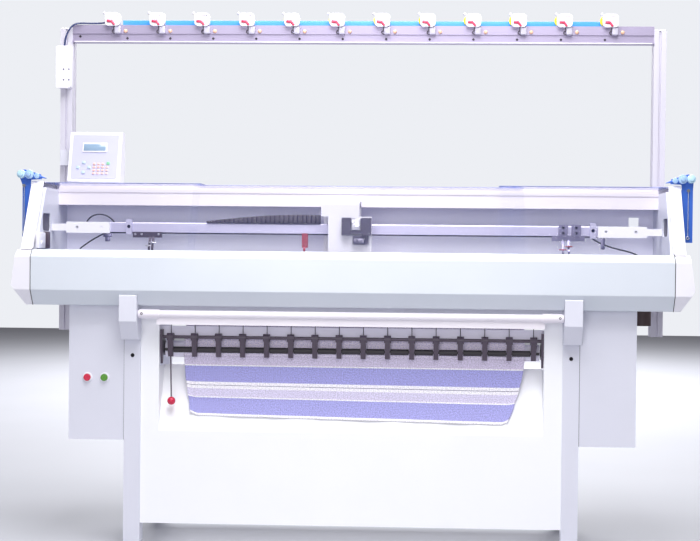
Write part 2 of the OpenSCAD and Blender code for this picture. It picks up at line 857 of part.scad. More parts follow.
module takedown_plate() {
    color("#e4e2ee") union() {
        block([-leg_in, plate_y, plate_z], [leg_in, plate_y + plate_sheet, plate_z + plate_h]);
        for (i = [0:arms - 1]) translate([(i - (arms - 1) / 2) * arm_pitch, plate_y - 1, plate_z + 16])
            cylinder(r = 1.5, h = plate_h - 16, $fn = 24);
    }
}

module takedown_brackets() {
    s = shaft;
    r = roller;
    color("#3a3036") both_ends() difference() {
        translate([cutout_half - 4, 0, 0]) along_x(8) polygon([
            [plate_y, plate_z + 24], [s[0] - 14, plate_z + 24], [s[0] - 20, s[1] + 4], [s[0] - 16, s[1] - 40],
            [s[0] + 2, s[1] - 99], [s[0] + 10, s[1] - 78], [s[0] + 14, s[1] - 56], [r[0] + 4, r[1] - 24],
            [r[0] + 22, r[1] - 12], [r[0] + 22, r[1] + 20], [plate_y + 8, plate_z - 0.5], [plate_y, plate_z - 0.5]
        ]);
        bar_x(bracket_face - 1, cutout_half + 1, s[0], s[1], shaft_rod_r + running);
        bar_x(bracket_face - 1, cutout_half + 1, r[0], r[1], journal_r + running);
    }
}

module main_roller() {
    color("#cfc8d6") {
        bar_x(-bracket_face + 4, bracket_face - 4, roller[0], roller[1], roller_r);
        bar_x(-cutout_half - 3, cutout_half + 3, roller[0], roller[1], journal_r);
    }
}

module pressure_roller() {
    end = bracket_face - 6;
    step = arm_pitch;
    first = -(arms - 1) / 2 * step;
    gap = 11;
    color("#2c272c") {
        bar_x(-end, end, press[0], press[1], press_shaft_r);
        for (i = [0:arms - 2])
            bar_x(first + i * step + gap, first + (i + 1) * step - gap, press[0], press[1], press_r);
    }
}

module pressing_arms() {
    s = shaft;
    p = press;
    color("#3a3036") {
        bar_x(-cutout_half - 3, cutout_half + 3, s[0], s[1], shaft_rod_r);
        for (i = [0:arms - 1]) translate([(i - (arms - 1) / 2) * arm_pitch, 0, 0]) difference() {
            union() {
                bar_x(-12.5, 12.5, s[0], s[1], 14);
                bar_x(-9, 9, p[0], p[1], 9);
                along_x(18) polygon([
                    [s[0] - 13, s[1] - 2], [s[0] + 11, s[1] - 4], [p[0] + 8, p[1] + 2], [p[0] + 4, p[1] - 26],
                    [p[0] - 5, p[1] - 26], [p[0] - 13, p[1] - 4]
                ]);
            }
            bar_x(-20, 20, p[0], p[1], press_shaft_r + running);
        }
        at_handle() translate([0, 0, -handle_l]) cylinder(r = handle_r, h = handle_l, $fn = 32);
    }
}

// The handle hangs from the left arm and leans forward, clear of the slide
handle_r = 2.5;
handle_l = 160;

module at_handle() {
    translate([-cutout_half + arm_margin, press[0] - 2, press[1] - 22]) rotate([-9, -3, 0]) children();
}

module release_knob() {
    color("#d8305a") at_handle() translate([0, 0, -handle_l - knob_r + 8]) difference() {
        sphere(r = knob_r, $fn = 64);
        translate([0, 0, knob_r - 8]) cylinder(r = handle_r + running, h = knob_r, $fn = 32);
    }
}

// The knitted sample hangs from the needles, through the take-down and over the slide
module knitted_sample() {
    back = roller[0] - roller_r - free_gap;
    slope = (slide_high[0] - slide_low[0]) / (slide_high[1] - slide_low[1]);
    meet_z = slide_low[1] + (back + 1.5 - slide_low[0]) / slope;
    end_z = slide_low[1] + 32;
    gap_back = bed_y + fabric_t / 2;
    path = bent([
        [gap_back, gap_z - 6], [gap_back, frame_z + 49], [back, roller[1] + 7], [back, meet_z],
        [slide_low[0] - 1.5 + (end_z - slide_low[1]) * slope, end_z]
    ], 30);
    half = fabric_w / 2;
    color("#9aa6dc") translate([needle_pitch, 0, 0]) intersection() {
        along_x(fabric_w) polygon(folded(path, fabric_t));
        along_y(front_y, rear_y) polygon([
            [-half, gap_z], [half, gap_z], [half, roller[1]], [half - 40, end_z + 30], [half - 44, end_z + 10],
            [half - 54, end_z - 5], [-half + 54, end_z - 5], [-half + 44, end_z + 10], [-half + 40, end_z + 30],
            [-half, roller[1]]
        ]);
    }
}

// Cabinets hang under the casing beside the legs
cabinet_y = leg_front_y + 4;
cabinet_end = pulley_x - motor_r - motor_box - motor_gap;
cabinet_w = cabinet_end - leg_out;
button_z = frame_z - 243;
red_x = -(leg_out + cabinet_end) / 2 - 2 - button_gap / 2;
green_x = red_x + button_gap;
bezel_t = 6;

module cabinet() {
    w = sheet;
    x = leg_out;
    y = cabinet_y;
    z = casing_z - cabinet_h;
    difference() {
        block([x, y, z], [x + cabinet_w, y + cabinet_d, casing_z]);
        block([x + w, y + w, z + w], [x + cabinet_w - w, y + cabinet_d - w, casing_z - w]);
        translate([x + cabinet_w / 2, y + cabinet_d / 2, casing_z - 10]) cylinder(r = 20, h = 20, $fn = 64);
    }
}

module left_cabinet() {
    color("#d9dbe3") difference() {
        mirror([1, 0, 0]) cabinet();
        for (x = [red_x, green_x]) bar_y(x, cabinet_y - 1, cabinet_y + sheet + 1, button_z, button_r + free_gap);
    }
}

module right_cabinet() {
    color("#d9dbe3") cabinet();
}

module button_bezels() {
    color("#eceaf0") for (x = [red_x, green_x]) translate([x, cabinet_y, button_z]) rotate([90, 0, 0])
        rotate_extrude($fn = 72) polygon([
            [button_r + free_gap, 0], [button_r + 5, 0], [button_r + 5, bezel_t - 2], [button_r + 3, bezel_t],
            [button_r + free_gap, bezel_t]
        ]);
}

module push_button(x) {
    translate([x, cabinet_y + 14, button_z]) rotate([90, 0, 0]) rotate_extrude($fn = 72) polygon([
        [0, 0], [button_r, 0], [button_r, 14 + bezel_t + 4], [button_r - 2, 14 + bezel_t + 6],
        [0, 14 + bezel_t + 6]
    ]);
}

module red_button() {
    color("#d8305a") push_button(red_x);
}

module green_button() {
    color("#6fa83c") push_button(green_x);
}

// Gantry: two slotted posts on the side plates and the beam with the yarn units
post_y = rear_y - 134;
post_x = plate_out + post_w / 2;
slot_w = 8;
slot_depth = 9;
beam_top = post_top + 16;

module rear_posts() {
    color("#e4e2ea") both_ends() translate([post_x, post_y + post_d / 2, post_bottom])
        linear_extrude(post_top - post_bottom) difference() {
            square([post_w, post_d], center = true);
            for (y = [-1, 1]) translate([0, y * post_d / 2]) square([slot_w, 2 * slot_depth], center = true);
            for (x = [-1, 1]) translate([x * post_w / 2, 0]) square([2 * slot_depth, slot_w], center = true);
            circle(r = 5, $fn = 32);
        }
}

beam_low = beam_top - beam_h;

module cross_beam() {
    y = post_y;
    mid = beam_top - 35;
    color("#d9d6e0") along_x(frame_w) polygon([
        [y, beam_top], [y, mid], [y + 4, mid], [y + 4, beam_low + 6], [y - 4, beam_low + 6], [y - 4, beam_low],
        [y + 40, beam_low], [y + 40, beam_low + 12], [y + 37, beam_low + 12], [y + 37, beam_low + 3],
        [y + 7, beam_low + 3], [y + 7, beam_top - 3], [y + 37, beam_top - 3], [y + 37, beam_top - 12],
        [y + 40, beam_top - 12], [y + 40, beam_top]
    ]);
}

unit_y = post_y + 18;

module at_units() {
    for (i = [0:units - 1]) translate([(i - (units - 1) / 2) * unit_pitch, unit_y, beam_top]) children();
}

// A housing hangs before the beam from a foot on its top; the yarn leaves through the eyelet below
unit_w = 60;
unit_h = 52;
unit_d = 22;
eyelet_r = 7;

module yarn_unit_bodies() {
    front = post_y - unit_y;
    mid = unit_h / 2 - 6;
    color("#f3f1f6") at_units() {
        block([-16, front - 1, 0], [16, front + 30, 26]);
        difference() {
            along_y(front - unit_d, front) translate([-4, mid]) rounded_square(unit_w, unit_h, 15);
            along_y(front - unit_d - 1, front - unit_d + 4) translate([6, mid + 2]) rounded_square(28, 30, 8);
        }
        translate([-unit_w / 2 + 2, front - unit_d / 2, mid + unit_h / 2 - 7]) rotate([0, -60, 0]) {
            cylinder(r = 4, h = 14, $fn = 32);
            translate([0, 0, 12]) cylinder(r = 6, h = 4, $fn = 32);
        }
    }
}

module yarn_unit_arms() {
    y = post_y - unit_y - unit_d / 2;
    color("#34303a") at_units() {
        block([-2, y - 2, -20], [2, y + 2, -6]);
        translate([0, y, -20 - eyelet_r]) rotate([90, 0, 0]) rotate_extrude($fn = 48)
            translate([eyelet_r, 0]) circle(r = 2, $fn = 24);
    }
}

// Stop-motion box on the left post and the cable that runs from it along the beam
box_x = -plate_out - post_w / 2 - 4;
box_z = post_top - 240;
box_h = 167;

module stop_motion_box() {
    color("#f6f4fa") translate([box_x, post_y - 20, box_z + box_h / 2]) rotate([90, 0, 0])
        linear_extrude(40, center = true) rounded_square(56, box_h, 8);
}

// A tube of radius r swept along a list of points
function ring(p, d, r, sides) =
    let (u = cross(d, [0, 1, 0.02]), a = u / norm(u), b = cross(d, a))
    [for (k = [0:sides - 1]) p + r * (a * cos(360 * k / sides) + b * sin(360 * k / sides))];

module swept_tube(points, r, sides = 8) {
    n = len(points);
    rings = [for (i = [0:n - 1])
        let (d = points[min(i + 1, n - 1)] - points[max(i - 1, 0)]) ring(points[i], d / norm(d), r, sides)];
    polyhedron(
        [for (c = rings) each c],
        concat(
            [[for (k = [0:sides - 1]) k]],
            [for (i = [0:n - 2], k = [0:sides - 1]) let (m = (k + 1) % sides)
                [i * sides + k, (i + 1) * sides + k, (i + 1) * sides + m, i * sides + m]],
            [[for (k = [sides - 1:-1:0]) (n - 1) * sides + k]]
        )
    );
}

lead_r = 3.5;

module signal_cable() {
    top = box_z + box_h;
    y = post_y - 20;
    low = beam_top + lead_r + 3;
    first = -(units - 1) / 2 * unit_pitch - 16;
    color("#2a2f60") {
        swept_tube([
            [box_x, y, top], [box_x + 1, y, top + 22], [box_x + 8, y, top + 48], [box_x + 20, y, top + 70],
            [box_x + 38, y, low - 6], [box_x + 58, y + 13, low], [first - 80, y + 28, low],
            [first - 44, y + 33, low + 1], [first - 20, y + 33, low + 5], [first, y + 32, low + 8]
        ], lead_r);
        block([first + 42, post_y + 33, beam_top], [plate_out - 8, post_y + 37, beam_top + 16]);
    }
}

// Control panel: desk-shaped housing on an arm from the left post
panel_tilt = 15;
panel_z = casing_top + 268;
panel_x = -plate_in + 105;
panel_reach = 122;
panel_stand = 26;
panel_y = post_y - panel_reach;
panel_back = post_y - panel_stand;

module panel_housing() {
    lean = panel_h * tan(panel_tilt);
    color("#f4f3f8") translate([panel_x, 0, 0]) along_x(panel_w) polygon(looped([
        [panel_y, panel_z], [panel_y + lean, panel_z + panel_h], [panel_back, panel_z + panel_h],
        [panel_back, panel_z + 32], [panel_back - 30, panel_z]
    ], 5));
}

module panel_keypad() {
    inset = 12;
    len_up = panel_h / cos(panel_tilt) - 2 * inset;
    color("#cfd6ea") translate([panel_x, panel_y, panel_z]) rotate([90 - panel_tilt, 0, 0])
        {
            translate([0, inset + len_up / 2, 0]) linear_extrude(2) rounded_square(panel_w - 2 * inset, len_up, 6);
            translate([-48, len_up - 58, 2]) cube([92, 34, 2]);
            for (i = [0:3], j = [0:3]) if (i + j < 6)
                translate([i * 17, 34 + j * 13, 1]) cylinder(r = 5, h = 2.5, $fn = 32);
            for (k = [0:3]) translate([-42 + 22 * cos(90 * k), 58 + 22 * sin(90 * k), 1])
                cylinder(r = 7, h = 2.5, $fn = 32);
            translate([55, 75, 1]) cylinder(r = 8, h = 2.5, $fn = 32);
        }
}

module panel_arm() {
    z = panel_z + 70;
    color("#c9ced4") union() {
        block([-plate_out - 40, panel_back, z], [panel_x - panel_w / 2 + 60, panel_back + 6, z + 60]);
        block([-plate_out - 40, panel_back, z], [-plate_out - 6, post_y, z + 60]);
    }
}

// Blue side tensioners on the side covers, and their sprung take-up arms
tens_x = plate_out + cover_w;
tens_y = bed_y - 70;
tens_z = casing_top + 47;
pivot_z = window_z - 14;

module tensioner(plate_w) {
    x = tens_x;
    y = tens_y;
    z = window_z;
    along_y(y, y + 4) polygon([
        [x, z - 12], [x, tens_z + 50], [x + plate_w - 24, tens_z], [x + plate_w, tens_z], [x + plate_w, z - 12]
    ]);
    block([x, y, tens_z + 50], [x + 4, y + 44, z - 12]);
    along_y(y, y + 5) polygon([
        [x - 38, z + 10], [x - 34, z + 28], [x + 26, z + 46], [x + 42, z + 42], [x + 46, z + 20],
        [x + plate_w, z - 13], [x + 4, z - 13], [x + 2, z + 8]
    ]);
    bar_y(x + 4, y - 16, y + 1, z + 27, 13);
    bar_y(x + 4, y - 22, y - 15, z + 27, 8);
    bar_y(x + 36, y - 14, y + 6, z + 28, 15);
    bar_y(x - 22, y - 10, y + 1, z + 22, 9);
    translate([x - 30, y + 2.5, z + 20]) rotate([0, -105, 0]) cylinder(r1 = 5, r2 = 1.2, h = 26, $fn = 24);
}

module side_tensioners() {
    color("#2a5fc8") {
        mirror([1, 0, 0]) tensioner(34);
        tensioner(44);
    }
}

module takeup_arm() {
    x = tens_x + 26;
    y = tens_y - 6;
    bar_y(x, y - 4, y + 5.7, pivot_z, 6);
    translate([x, y, pivot_z - 168]) cylinder(r = 1.6, h = 165, $fn = 24);
    translate([x, y, pivot_z - 172]) rotate([90, 0, 0]) rotate_extrude($fn = 40)
        translate([5, 0]) circle(r = 1.8, $fn = 24);
}

module left_takeup_arm() {
    color("#f0f0f6") mirror([1, 0, 0]) takeup_arm();
}

module right_takeup_arm() {
    color("#f0f0f6") takeup_arm();
}

// Drive: motor under the right shelf, toothed belt behind the rear bed, pulleys at both ends
module drive_motor() {
    r = motor_r;
    h = 144;
    color("#4a3a38") difference() {
        union() {
            translate([pulley_x, pulley_y, shelf_z - 10 - h]) cylinder(r = r, h = h + 1, $fn = 96);
            block([pulley_x - r, pulley_y - r, shelf_z - 10], [pulley_x + r, pulley_y + r, shelf_z]);
            block([pulley_x - r - motor_box, pulley_y - 25, shelf_z - 130], [pulley_x - r + 6, pulley_y + 25, shelf_z - 50]);
        }
        translate([pulley_x, pulley_y, shelf_z - 26]) cylinder(r = shaft_r + running, h = 30, $fn = 64);
    }
}

module pulley() {
    low = shelf_z + shelf_t + free_gap;
    translate([0, pulley_y, 0]) {
        translate([0, 0, shelf_z - 20]) cylinder(r = shaft_r, h = low + 2 - shelf_z + 20, $fn = 64);
        translate([0, 0, low]) cylinder(r = pulley_r + 6, h = 2, $fn = 96);
        translate([0, 0, low + 2]) cylinder(r = pulley_r, h = belt_z + belt_h + 2 - low, $fn = 96);
        translate([0, 0, belt_z + belt_h + 1]) cylinder(r = pulley_r + 6, h = 3, $fn = 96);
    }
}

module drive_pulley() {
    color("#9aa0a8") translate([pulley_x, 0, 0]) pulley();
}

module idler_pulley() {
    color("#9aa0a8") translate([-pulley_x, 0, 0]) pulley();
}

module belt_outline(r) {
    steps = 36;
    polygon([for (side = [0, 1], i = [0:steps]) let (a = 180 * side - 90 + 180 * i / steps)
        [(1 - 2 * side) * pulley_x + r * cos(a), r * sin(a)]]);
}

module drive_belt() {
    r = pulley_r + free_gap;
    color("#26242a") translate([0, pulley_y, belt_z]) linear_extrude(belt_h) difference() {
        belt_outline(r + belt_t);
        belt_outline(r);
    }
}

// Drag chain: links that lie on the yarn rail and rise towards the carriage
chain_links = 25;
link = 17.2;
chain_from = carriage_x - 116 - chain_links * link;

module drag_chain() {
    n = chain_links;
    y = yarn_y - 8;
    w = 24;
    z = yarn_z + yarn_h;
    color("#3c3648") union() {
        block([chain_from + 6, y + 4, z], [chain_from + n * link, y + w - 4, z + 6]);
        for (i = [0:n - 1]) let (t = i / (n - 1), rise = 26 * sin(105 * t)) translate([chain_from + i * link, y, z])
            block([0, 0, 0], [link - 2, w, 8 + rise]);
        block([chain_from + 6, y + 4, z], [chain_from + n * link - 4, y + w - 4, z + 7]);
    }
}

legs();
levelling_feet();
leg_brackets();
base_frame();
leg_stretchers();
side_plates();
bed_carrier();
front_needle_bed();
front_needles();
rear_needle_bed();
rear_needles();
carriage_rails();
cam_boxes();
carriage_bow();
carriage_grips();
top_rail();
yarn_rail();
yarn_rail_brackets();
left_feeder();
middle_feeder();
right_feeder();
front_casing();
end_caps();
side_covers();
rear_wall();
rear_casing();
left_window();
centre_window();
right_window();
start_bar();
apron();
takedown_plate();
takedown_brackets();
main_roller();
pressure_roller();
pressing_arms();
release_knob();
knitted_sample();
left_cabinet();
right_cabinet();
button_bezels();
red_button();
green_button();
rear_posts();
cross_beam();
yarn_unit_bodies();
yarn_unit_arms();
stop_motion_box();
signal_cable();
panel_housing();
panel_keypad();
panel_arm();
side_tensioners();
left_takeup_arm();
right_takeup_arm();
drive_motor();
drive_belt();
drive_pulley();
idler_pulley();
drag_chain();
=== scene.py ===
import math

import bmesh
import bpy
from mathutils import Matrix, Vector


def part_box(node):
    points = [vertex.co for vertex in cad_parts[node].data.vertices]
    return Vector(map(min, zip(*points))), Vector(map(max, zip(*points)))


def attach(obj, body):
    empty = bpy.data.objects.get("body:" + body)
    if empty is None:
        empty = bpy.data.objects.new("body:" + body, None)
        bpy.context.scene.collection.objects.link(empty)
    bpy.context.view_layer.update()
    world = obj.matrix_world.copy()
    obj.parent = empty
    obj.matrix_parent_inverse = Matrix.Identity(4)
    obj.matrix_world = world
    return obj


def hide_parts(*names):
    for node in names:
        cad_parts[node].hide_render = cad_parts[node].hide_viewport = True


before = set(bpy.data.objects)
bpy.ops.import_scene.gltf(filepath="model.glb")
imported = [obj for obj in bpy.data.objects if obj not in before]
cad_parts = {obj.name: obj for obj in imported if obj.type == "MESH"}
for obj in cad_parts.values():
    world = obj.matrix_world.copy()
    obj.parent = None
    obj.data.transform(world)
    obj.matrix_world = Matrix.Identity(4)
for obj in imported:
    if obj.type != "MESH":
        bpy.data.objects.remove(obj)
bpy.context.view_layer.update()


# Studio: a pale floor, four soft boxes and an even sky
# The camera stands at about chest height, five metres in front of the machine and a little to its
# right, turned slightly to the left, as the photographer's was.
def linear(code):
    parts = [int(code[i:i + 2], 16) / 255 for i in (1, 3, 5)]
    return tuple(c / 12.92 if c <= 0.04045 else ((c + 0.055) / 1.055) ** 2.4 for c in parts) + (1,)


def add_node(tree, kind, settings=None, links=None):
    node = tree.nodes.new(kind)
    for key, value in (settings or {}).items():
        if isinstance(key, int) or key in node.inputs:
            node.inputs[key].default_value = value
        else:
            setattr(node, key, value)
    for socket, source in (links or {}).items():
        tree.links.new(source, node.inputs[socket])
    return node


def start_material(name):
    material = bpy.data.materials.new(name)
    material.use_nodes = True
    tree = material.node_tree
    place = add_node(tree, "ShaderNodeTexCoord").outputs["Object"]
    return material, tree, tree.nodes["Principled BSDF"], place


def clouds(tree, place, scale, detail):
    # A noise pattern with its scale in repeats per metre of the place it is given
    return add_node(
        tree, "ShaderNodeTexNoise", {"Scale": scale, "Detail": detail}, {"Vector": place}
    )


def two_tones(tree, colour, shade, pattern):
    # A colour that drifts into a second one with a pattern
    settings = {"data_type": "RGBA", 6: linear(colour), 7: linear(shade)}
    return add_node(tree, "ShaderNodeMix", settings, {0: pattern.outputs[0]})


def deselect():
    bpy.ops.object.select_all(action="DESELECT")


def pick(piece):
    # Makes the piece the selected and the active one
    deselect()
    piece.select_set(True)
    bpy.context.view_layer.objects.active = piece


camera_spot = (0.3123, -5.3147, 1.0798)
turn_left, tip_down, lean = math.radians(2.40), math.radians(0.9125), math.radians(0.583)
ahead = Vector((
    -math.sin(turn_left) * math.cos(tip_down),
    math.cos(turn_left) * math.cos(tip_down),
    -math.sin(tip_down),
))
level = Vector((math.cos(turn_left), math.sin(turn_left), 0))
upright = level.cross(ahead)
right = level * math.cos(lean) + upright * math.sin(lean)
up = upright * math.cos(lean) - level * math.sin(lean)
deselect()
bpy.ops.object.camera_add()
camera = bpy.context.object
axes = Matrix((right, up, -ahead)).transposed().to_4x4()
camera.matrix_world = Matrix.Translation(camera_spot) @ axes
camera.data.lens = 71.62
camera.data.shift_x = -0.0411
camera.data.shift_y = 0.0141
bpy.context.scene.camera = camera
bpy.context.scene.view_settings.view_transform = "Standard"

machine_middle, floor_behind = Vector((0, 0, 1.0)), Vector((0, 6.0, 0))
for name, spot, size, power, aim in (
    ("key_box", (0.8, -3.5, 4.2), 2.0, 74, machine_middle),
    ("fill_box", (-0.4, -5.6, 1.6), 2.6, 80, machine_middle),
    ("top_box", (0.0, -1.1, 4.0), 2.6, 176, machine_middle),
    ("floor_box", (0.0, 7.0, 4.5), 6.0, 900, floor_behind),
):
    deselect()
    bpy.ops.object.light_add(type="AREA", location=spot)
    lamp = bpy.context.object
    lamp.name = name
    lamp.data.size = size
    lamp.data.energy = power
    lamp.rotation_euler = (aim - Vector(spot)).to_track_quat("-Z", "Y").to_euler()

world = bpy.data.worlds.new("even_sky")
bpy.context.scene.world = world
world.use_nodes = True
sky = world.node_tree
sky.nodes.clear()
ray = add_node(sky, "ShaderNodeLightPath")
seen = add_node(sky, "ShaderNodeMath", {"operation": "MAXIMUM"}, {
    0: ray.outputs["Is Camera Ray"], 1: ray.outputs["Is Transmission Ray"]
})
light = add_node(sky, "ShaderNodeBackground", {"Color": linear("#F8F6FF"), "Strength": 0.18})
show = add_node(sky, "ShaderNodeBackground", {"Color": linear("#EDEFF4"), "Strength": 1.0})
both = add_node(sky, "ShaderNodeMixShader", None, {
    0: seen.outputs[0], 1: light.outputs[0], 2: show.outputs[0]
})
add_node(sky, "ShaderNodeOutputWorld", None, {"Surface": both.outputs[0]})

# Painted screed: matt, pale, very faintly clouded
floor_paint, tree, shader, place = start_material("painted_screed")
tint = two_tones(tree, "#B4B5BD", "#AEB0B8", clouds(tree, place, 1.5, 3.0))
tree.links.new(tint.outputs[2], shader.inputs["Base Color"])
shader.inputs["Roughness"].default_value = 0.7
deselect()
bpy.ops.mesh.primitive_plane_add(size=30)
floor = bpy.context.object
floor.name = "studio_floor"
floor.data.materials.append(floor_paint)


# Stand: legs, frame, stretchers and brackets
# Square steel tube and cast iron heads, all stove-enamelled in one light grey. The levelling feet
# are black rubber on steel studs, and each front leg carries one black socket screw.
def surface(tree, shader, tint, shine, relief):
    # Joins colour, gloss and relief to the shader. shine is a pattern with the roughness at its
    # lowest and highest; relief is a pattern with its strength and its depth in metres.
    pattern, low, high = shine
    gloss = add_node(tree, "ShaderNodeMapRange", {3: low, 4: high}, {0: pattern.outputs[0]})
    pattern, strength, depth = relief
    settings = {"Strength": strength, "Distance": depth}
    bump = add_node(tree, "ShaderNodeBump", settings, {"Height": pattern.outputs[0]})
    tree.links.new(tint.outputs[2], shader.inputs["Base Color"])
    tree.links.new(gloss.outputs[0], shader.inputs["Roughness"])
    tree.links.new(bump.outputs[0], shader.inputs["Normal"])


def enamel(name, colour, shade, roughness, peel=0.02):
    # Baked paint: even colour with a faint cloud, a slight orange peel, gloss that varies a little.
    # The real peel is about 1 mm across; it is drawn at 4 mm so that it shows.
    material, tree, shader, place = start_material(name)
    cloud = clouds(tree, place, 4.0, 4.0)
    tint = two_tones(tree, colour, shade, cloud)
    grain = clouds(tree, place, 250.0, 2.0)
    surface(tree, shader, tint, (cloud, roughness - 0.05, roughness + 0.08), (grain, peel, 0.002))
    return material


def moulded(name, colour, shade, roughness, grit=900.0):
    # Injection-moulded plastic: spark-eroded grain about 1 mm across and a soft sheen.
    material, tree, shader, place = start_material(name)
    grain = clouds(tree, place, grit, 2.0)
    tint = two_tones(tree, colour, shade, clouds(tree, place, 9.0, 3.0))
    surface(tree, shader, tint, (grain, roughness - 0.04, roughness + 0.1), (grain, 0.06, 0.001))
    return material


def drawn_metal(name, colour, shade, roughness, stretch, metallic=1.0):
    # Metal with its tool marks: streaks along the way it was drawn, ground or extruded.
    # stretch holds the marks per metre along X, Y and Z.
    material, tree, shader, place = start_material(name)
    lay = add_node(tree, "ShaderNodeMapping", {"Scale": stretch}, {"Vector": place})
    marks = clouds(tree, lay.outputs[0], 1.0, 4.0)
    tint = two_tones(tree, colour, shade, marks)
    surface(tree, shader, tint, (marks, roughness - 0.08, roughness + 0.12), (marks, 0.05, 0.001))
    shader.inputs["Metallic"].default_value = metallic
    return material


def dress(material, *nodes):
    for name in nodes:
        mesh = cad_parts[name].data
        mesh.materials.clear()
        mesh.materials.append(material)


def apply_place():
    # Writes the active piece's place, turn and scale into its mesh
    bpy.ops.object.transform_apply(location=True, rotation=True, scale=True)


def settle(piece, name, body, material, angle=35):
    # Puts the piece's place in its mesh, names and finishes it, and lets it ride on a body
    pick(piece)
    apply_place()
    bpy.ops.object.shade_smooth_by_angle(angle=math.radians(angle))
    piece.name = name
    piece.data.name = name
    piece.data.materials.clear()
    piece.data.materials.append(material)
    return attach(piece, body)


def bevelled(piece, width, segments=2):
    modifier = piece.modifiers.new("edges", "BEVEL")
    modifier.width = width
    modifier.segments = segments
    modifier.limit_method = "ANGLE"
    pick(piece)
    bpy.ops.object.modifier_apply(modifier="edges")
    return piece


def block(middle, size, lean_back=0):
    # A sharp-edged block about its middle, leaned back by an angle
    deselect()
    bpy.ops.mesh.primitive_cube_add(size=1, location=middle)
    piece = bpy.context.object
    piece.scale = size
    piece.rotation_euler = (-lean_back, 0, 0)
    apply_place()
    return piece


def brick(low, high, edge=0.0008, segments=2):
    # A block between two corners with softened edges
    size = Vector(high) - Vector(low)
    piece = block((Vector(low) + Vector(high)) / 2, size)
    return bevelled(piece, min(edge, min(size) * 0.45), segments)


def peg(start, end, radius, edge=0.0006, sides=24):
    # A round pin between two points with softened rims
    deselect()
    run = Vector(end) - Vector(start)
    bpy.ops.mesh.primitive_cylinder_add(
        vertices=sides, radius=radius, depth=run.length, location=(Vector(start) + Vector(end)) / 2
    )
    piece = bpy.context.object
    piece.rotation_mode = "QUATERNION"
    piece.rotation_quaternion = run.to_track_quat("Z", "Y")
    apply_place()
    return bevelled(piece, min(edge, radius * 0.4, run.length * 0.4))


def stud(x, z, front, back, radius, edge=0.0006, sides=24):
    # A round pin that points to the front of the machine
    return peg((x, front, z), (x, back, z), radius, edge, sides)


def joined(pieces):
    deselect()
    for piece in pieces:
        piece.select_set(True)
    bpy.context.view_layer.objects.active = pieces[0]
    if len(pieces) > 1:
        bpy.ops.object.join()
    return bpy.context.object


def repeated(master, shifts):
    # One modelled piece copied to every place, then joined into one mesh
    copies = []
    for shift in shifts:
        copy = master.copy()
        copy.data = master.data.copy()
        bpy.context.collection.objects.link(copy)
        copy.location = shift
        copies.append(copy)
    bpy.data.objects.remove(master)
    for copy in copies:
        pick(copy)
        bpy.ops.object.transform_apply(location=True, rotation=False, scale=False)
    return joined(copies)


def socket_screw(radius, head):
    # Cap screw that looks along -Y: a short cylinder, its face inset and sunk for the key
    deselect()
    bpy.ops.mesh.primitive_cylinder_add(
        vertices=24, radius=radius, depth=head, location=(0, 0, head / 2)
    )
    piece = bpy.context.object
    bpy.ops.object.mode_set(mode="EDIT")
    shape = bmesh.from_edit_mesh(piece.data)
    for face in shape.faces:
        face.select_set(face.normal.z > 0.9)
    bmesh.update_edit_mesh(piece.data)
    bpy.ops.mesh.inset(thickness=radius * 0.42, depth=0)
    bpy.ops.mesh.extrude_region_move(TRANSFORM_OT_translate={"value": (0, 0, -head * 0.5)})
    bpy.ops.object.mode_set(mode="OBJECT")
    bevelled(piece, radius * 0.12)
    piece.rotation_euler = (math.radians(90), 0, 0)
    apply_place()
    return piece


grey_enamel = enamel("light_grey_stove_enamel", "#DEDEEA", "#D5D6E3", 0.38)
black_rubber = moulded("moulded_black_rubber", "#2B292D", "#343136", 0.62)
black_screw = drawn_metal("blackened_screw_steel", "#26242A", "#3A383E", 0.42, (300, 300, 300), 0.9)
dress(grey_enamel, "legs", "base_frame", "leg_stretchers", "leg_brackets", "side_plates")
dress(black_rubber, "levelling_feet")
leg_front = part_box("legs")[0].y
settle(
    repeated(socket_screw(0.007, 0.004), [(-0.798, leg_front, 0.714), (0.799, leg_front, 0.721)]),
    "leg_screws", "machine", black_screw
)


# Needle beds, needles, carrier and rails
# Hardened tool steel plates ground across, with a milled trick for every needle, on a painted
# iron casting. The needles are polished and the rails are ground bright along their length.
bed_steel = drawn_metal("ground_tool_steel", "#B4B9C2", "#9DA2AD", 0.34, (30, 900, 900))
needle_steel = drawn_metal("polished_needle_steel", "#D6DAE2", "#C2C6D0", 0.2, (400, 60, 60))
rail_steel = drawn_metal("ground_rail_steel", "#C2C6CE", "#ABB0BA", 0.28, (8, 700, 700))
iron_paint = enamel("grey_machine_paint_on_iron", "#8C919B", "#7C818C", 0.5, 0.2)
dress(bed_steel, "front_needle_bed", "rear_needle_bed")
dress(needle_steel, "front_needles", "rear_needles")
dress(rail_steel, "carriage_rails")
dress(iron_paint, "bed_carrier")


# Carriage: cam boxes, bow, grips and clasp
# Cast aluminium boxes and bow in the casing's off-white, two ribbed dark slate nylon grips that
# the operator holds, a bright steel clasp between them and a bronzed lever under them.
carriage_paint = enamel("off_white_stove_enamel", "#E0DDE6", "#D8D5E0", 0.34)
black_nylon = moulded("moulded_black_nylon", "#453E4A", "#524B57", 0.45)
grip_nylon = moulded("moulded_slate_nylon", "#544E62", "#605A6E", 0.45)
bright_steel = drawn_metal(
    "bright_turned_steel", "#E4E2EC", "#C6C3D0", 0.26, (200, 200, 900), 0.6
)
lever_steel = drawn_metal(
    "bronzed_lever_steel", "#8A869A", "#6A6678", 0.34, (200, 200, 300), 0.6
)
dress(carriage_paint, "cam_boxes", "carriage_bow")
dress(grip_nylon, "carriage_grips")
grip_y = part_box("carriage_grips")[0].y
clasp_x, clasp_low, clasp_high = 0.0125, 1.182, 1.224
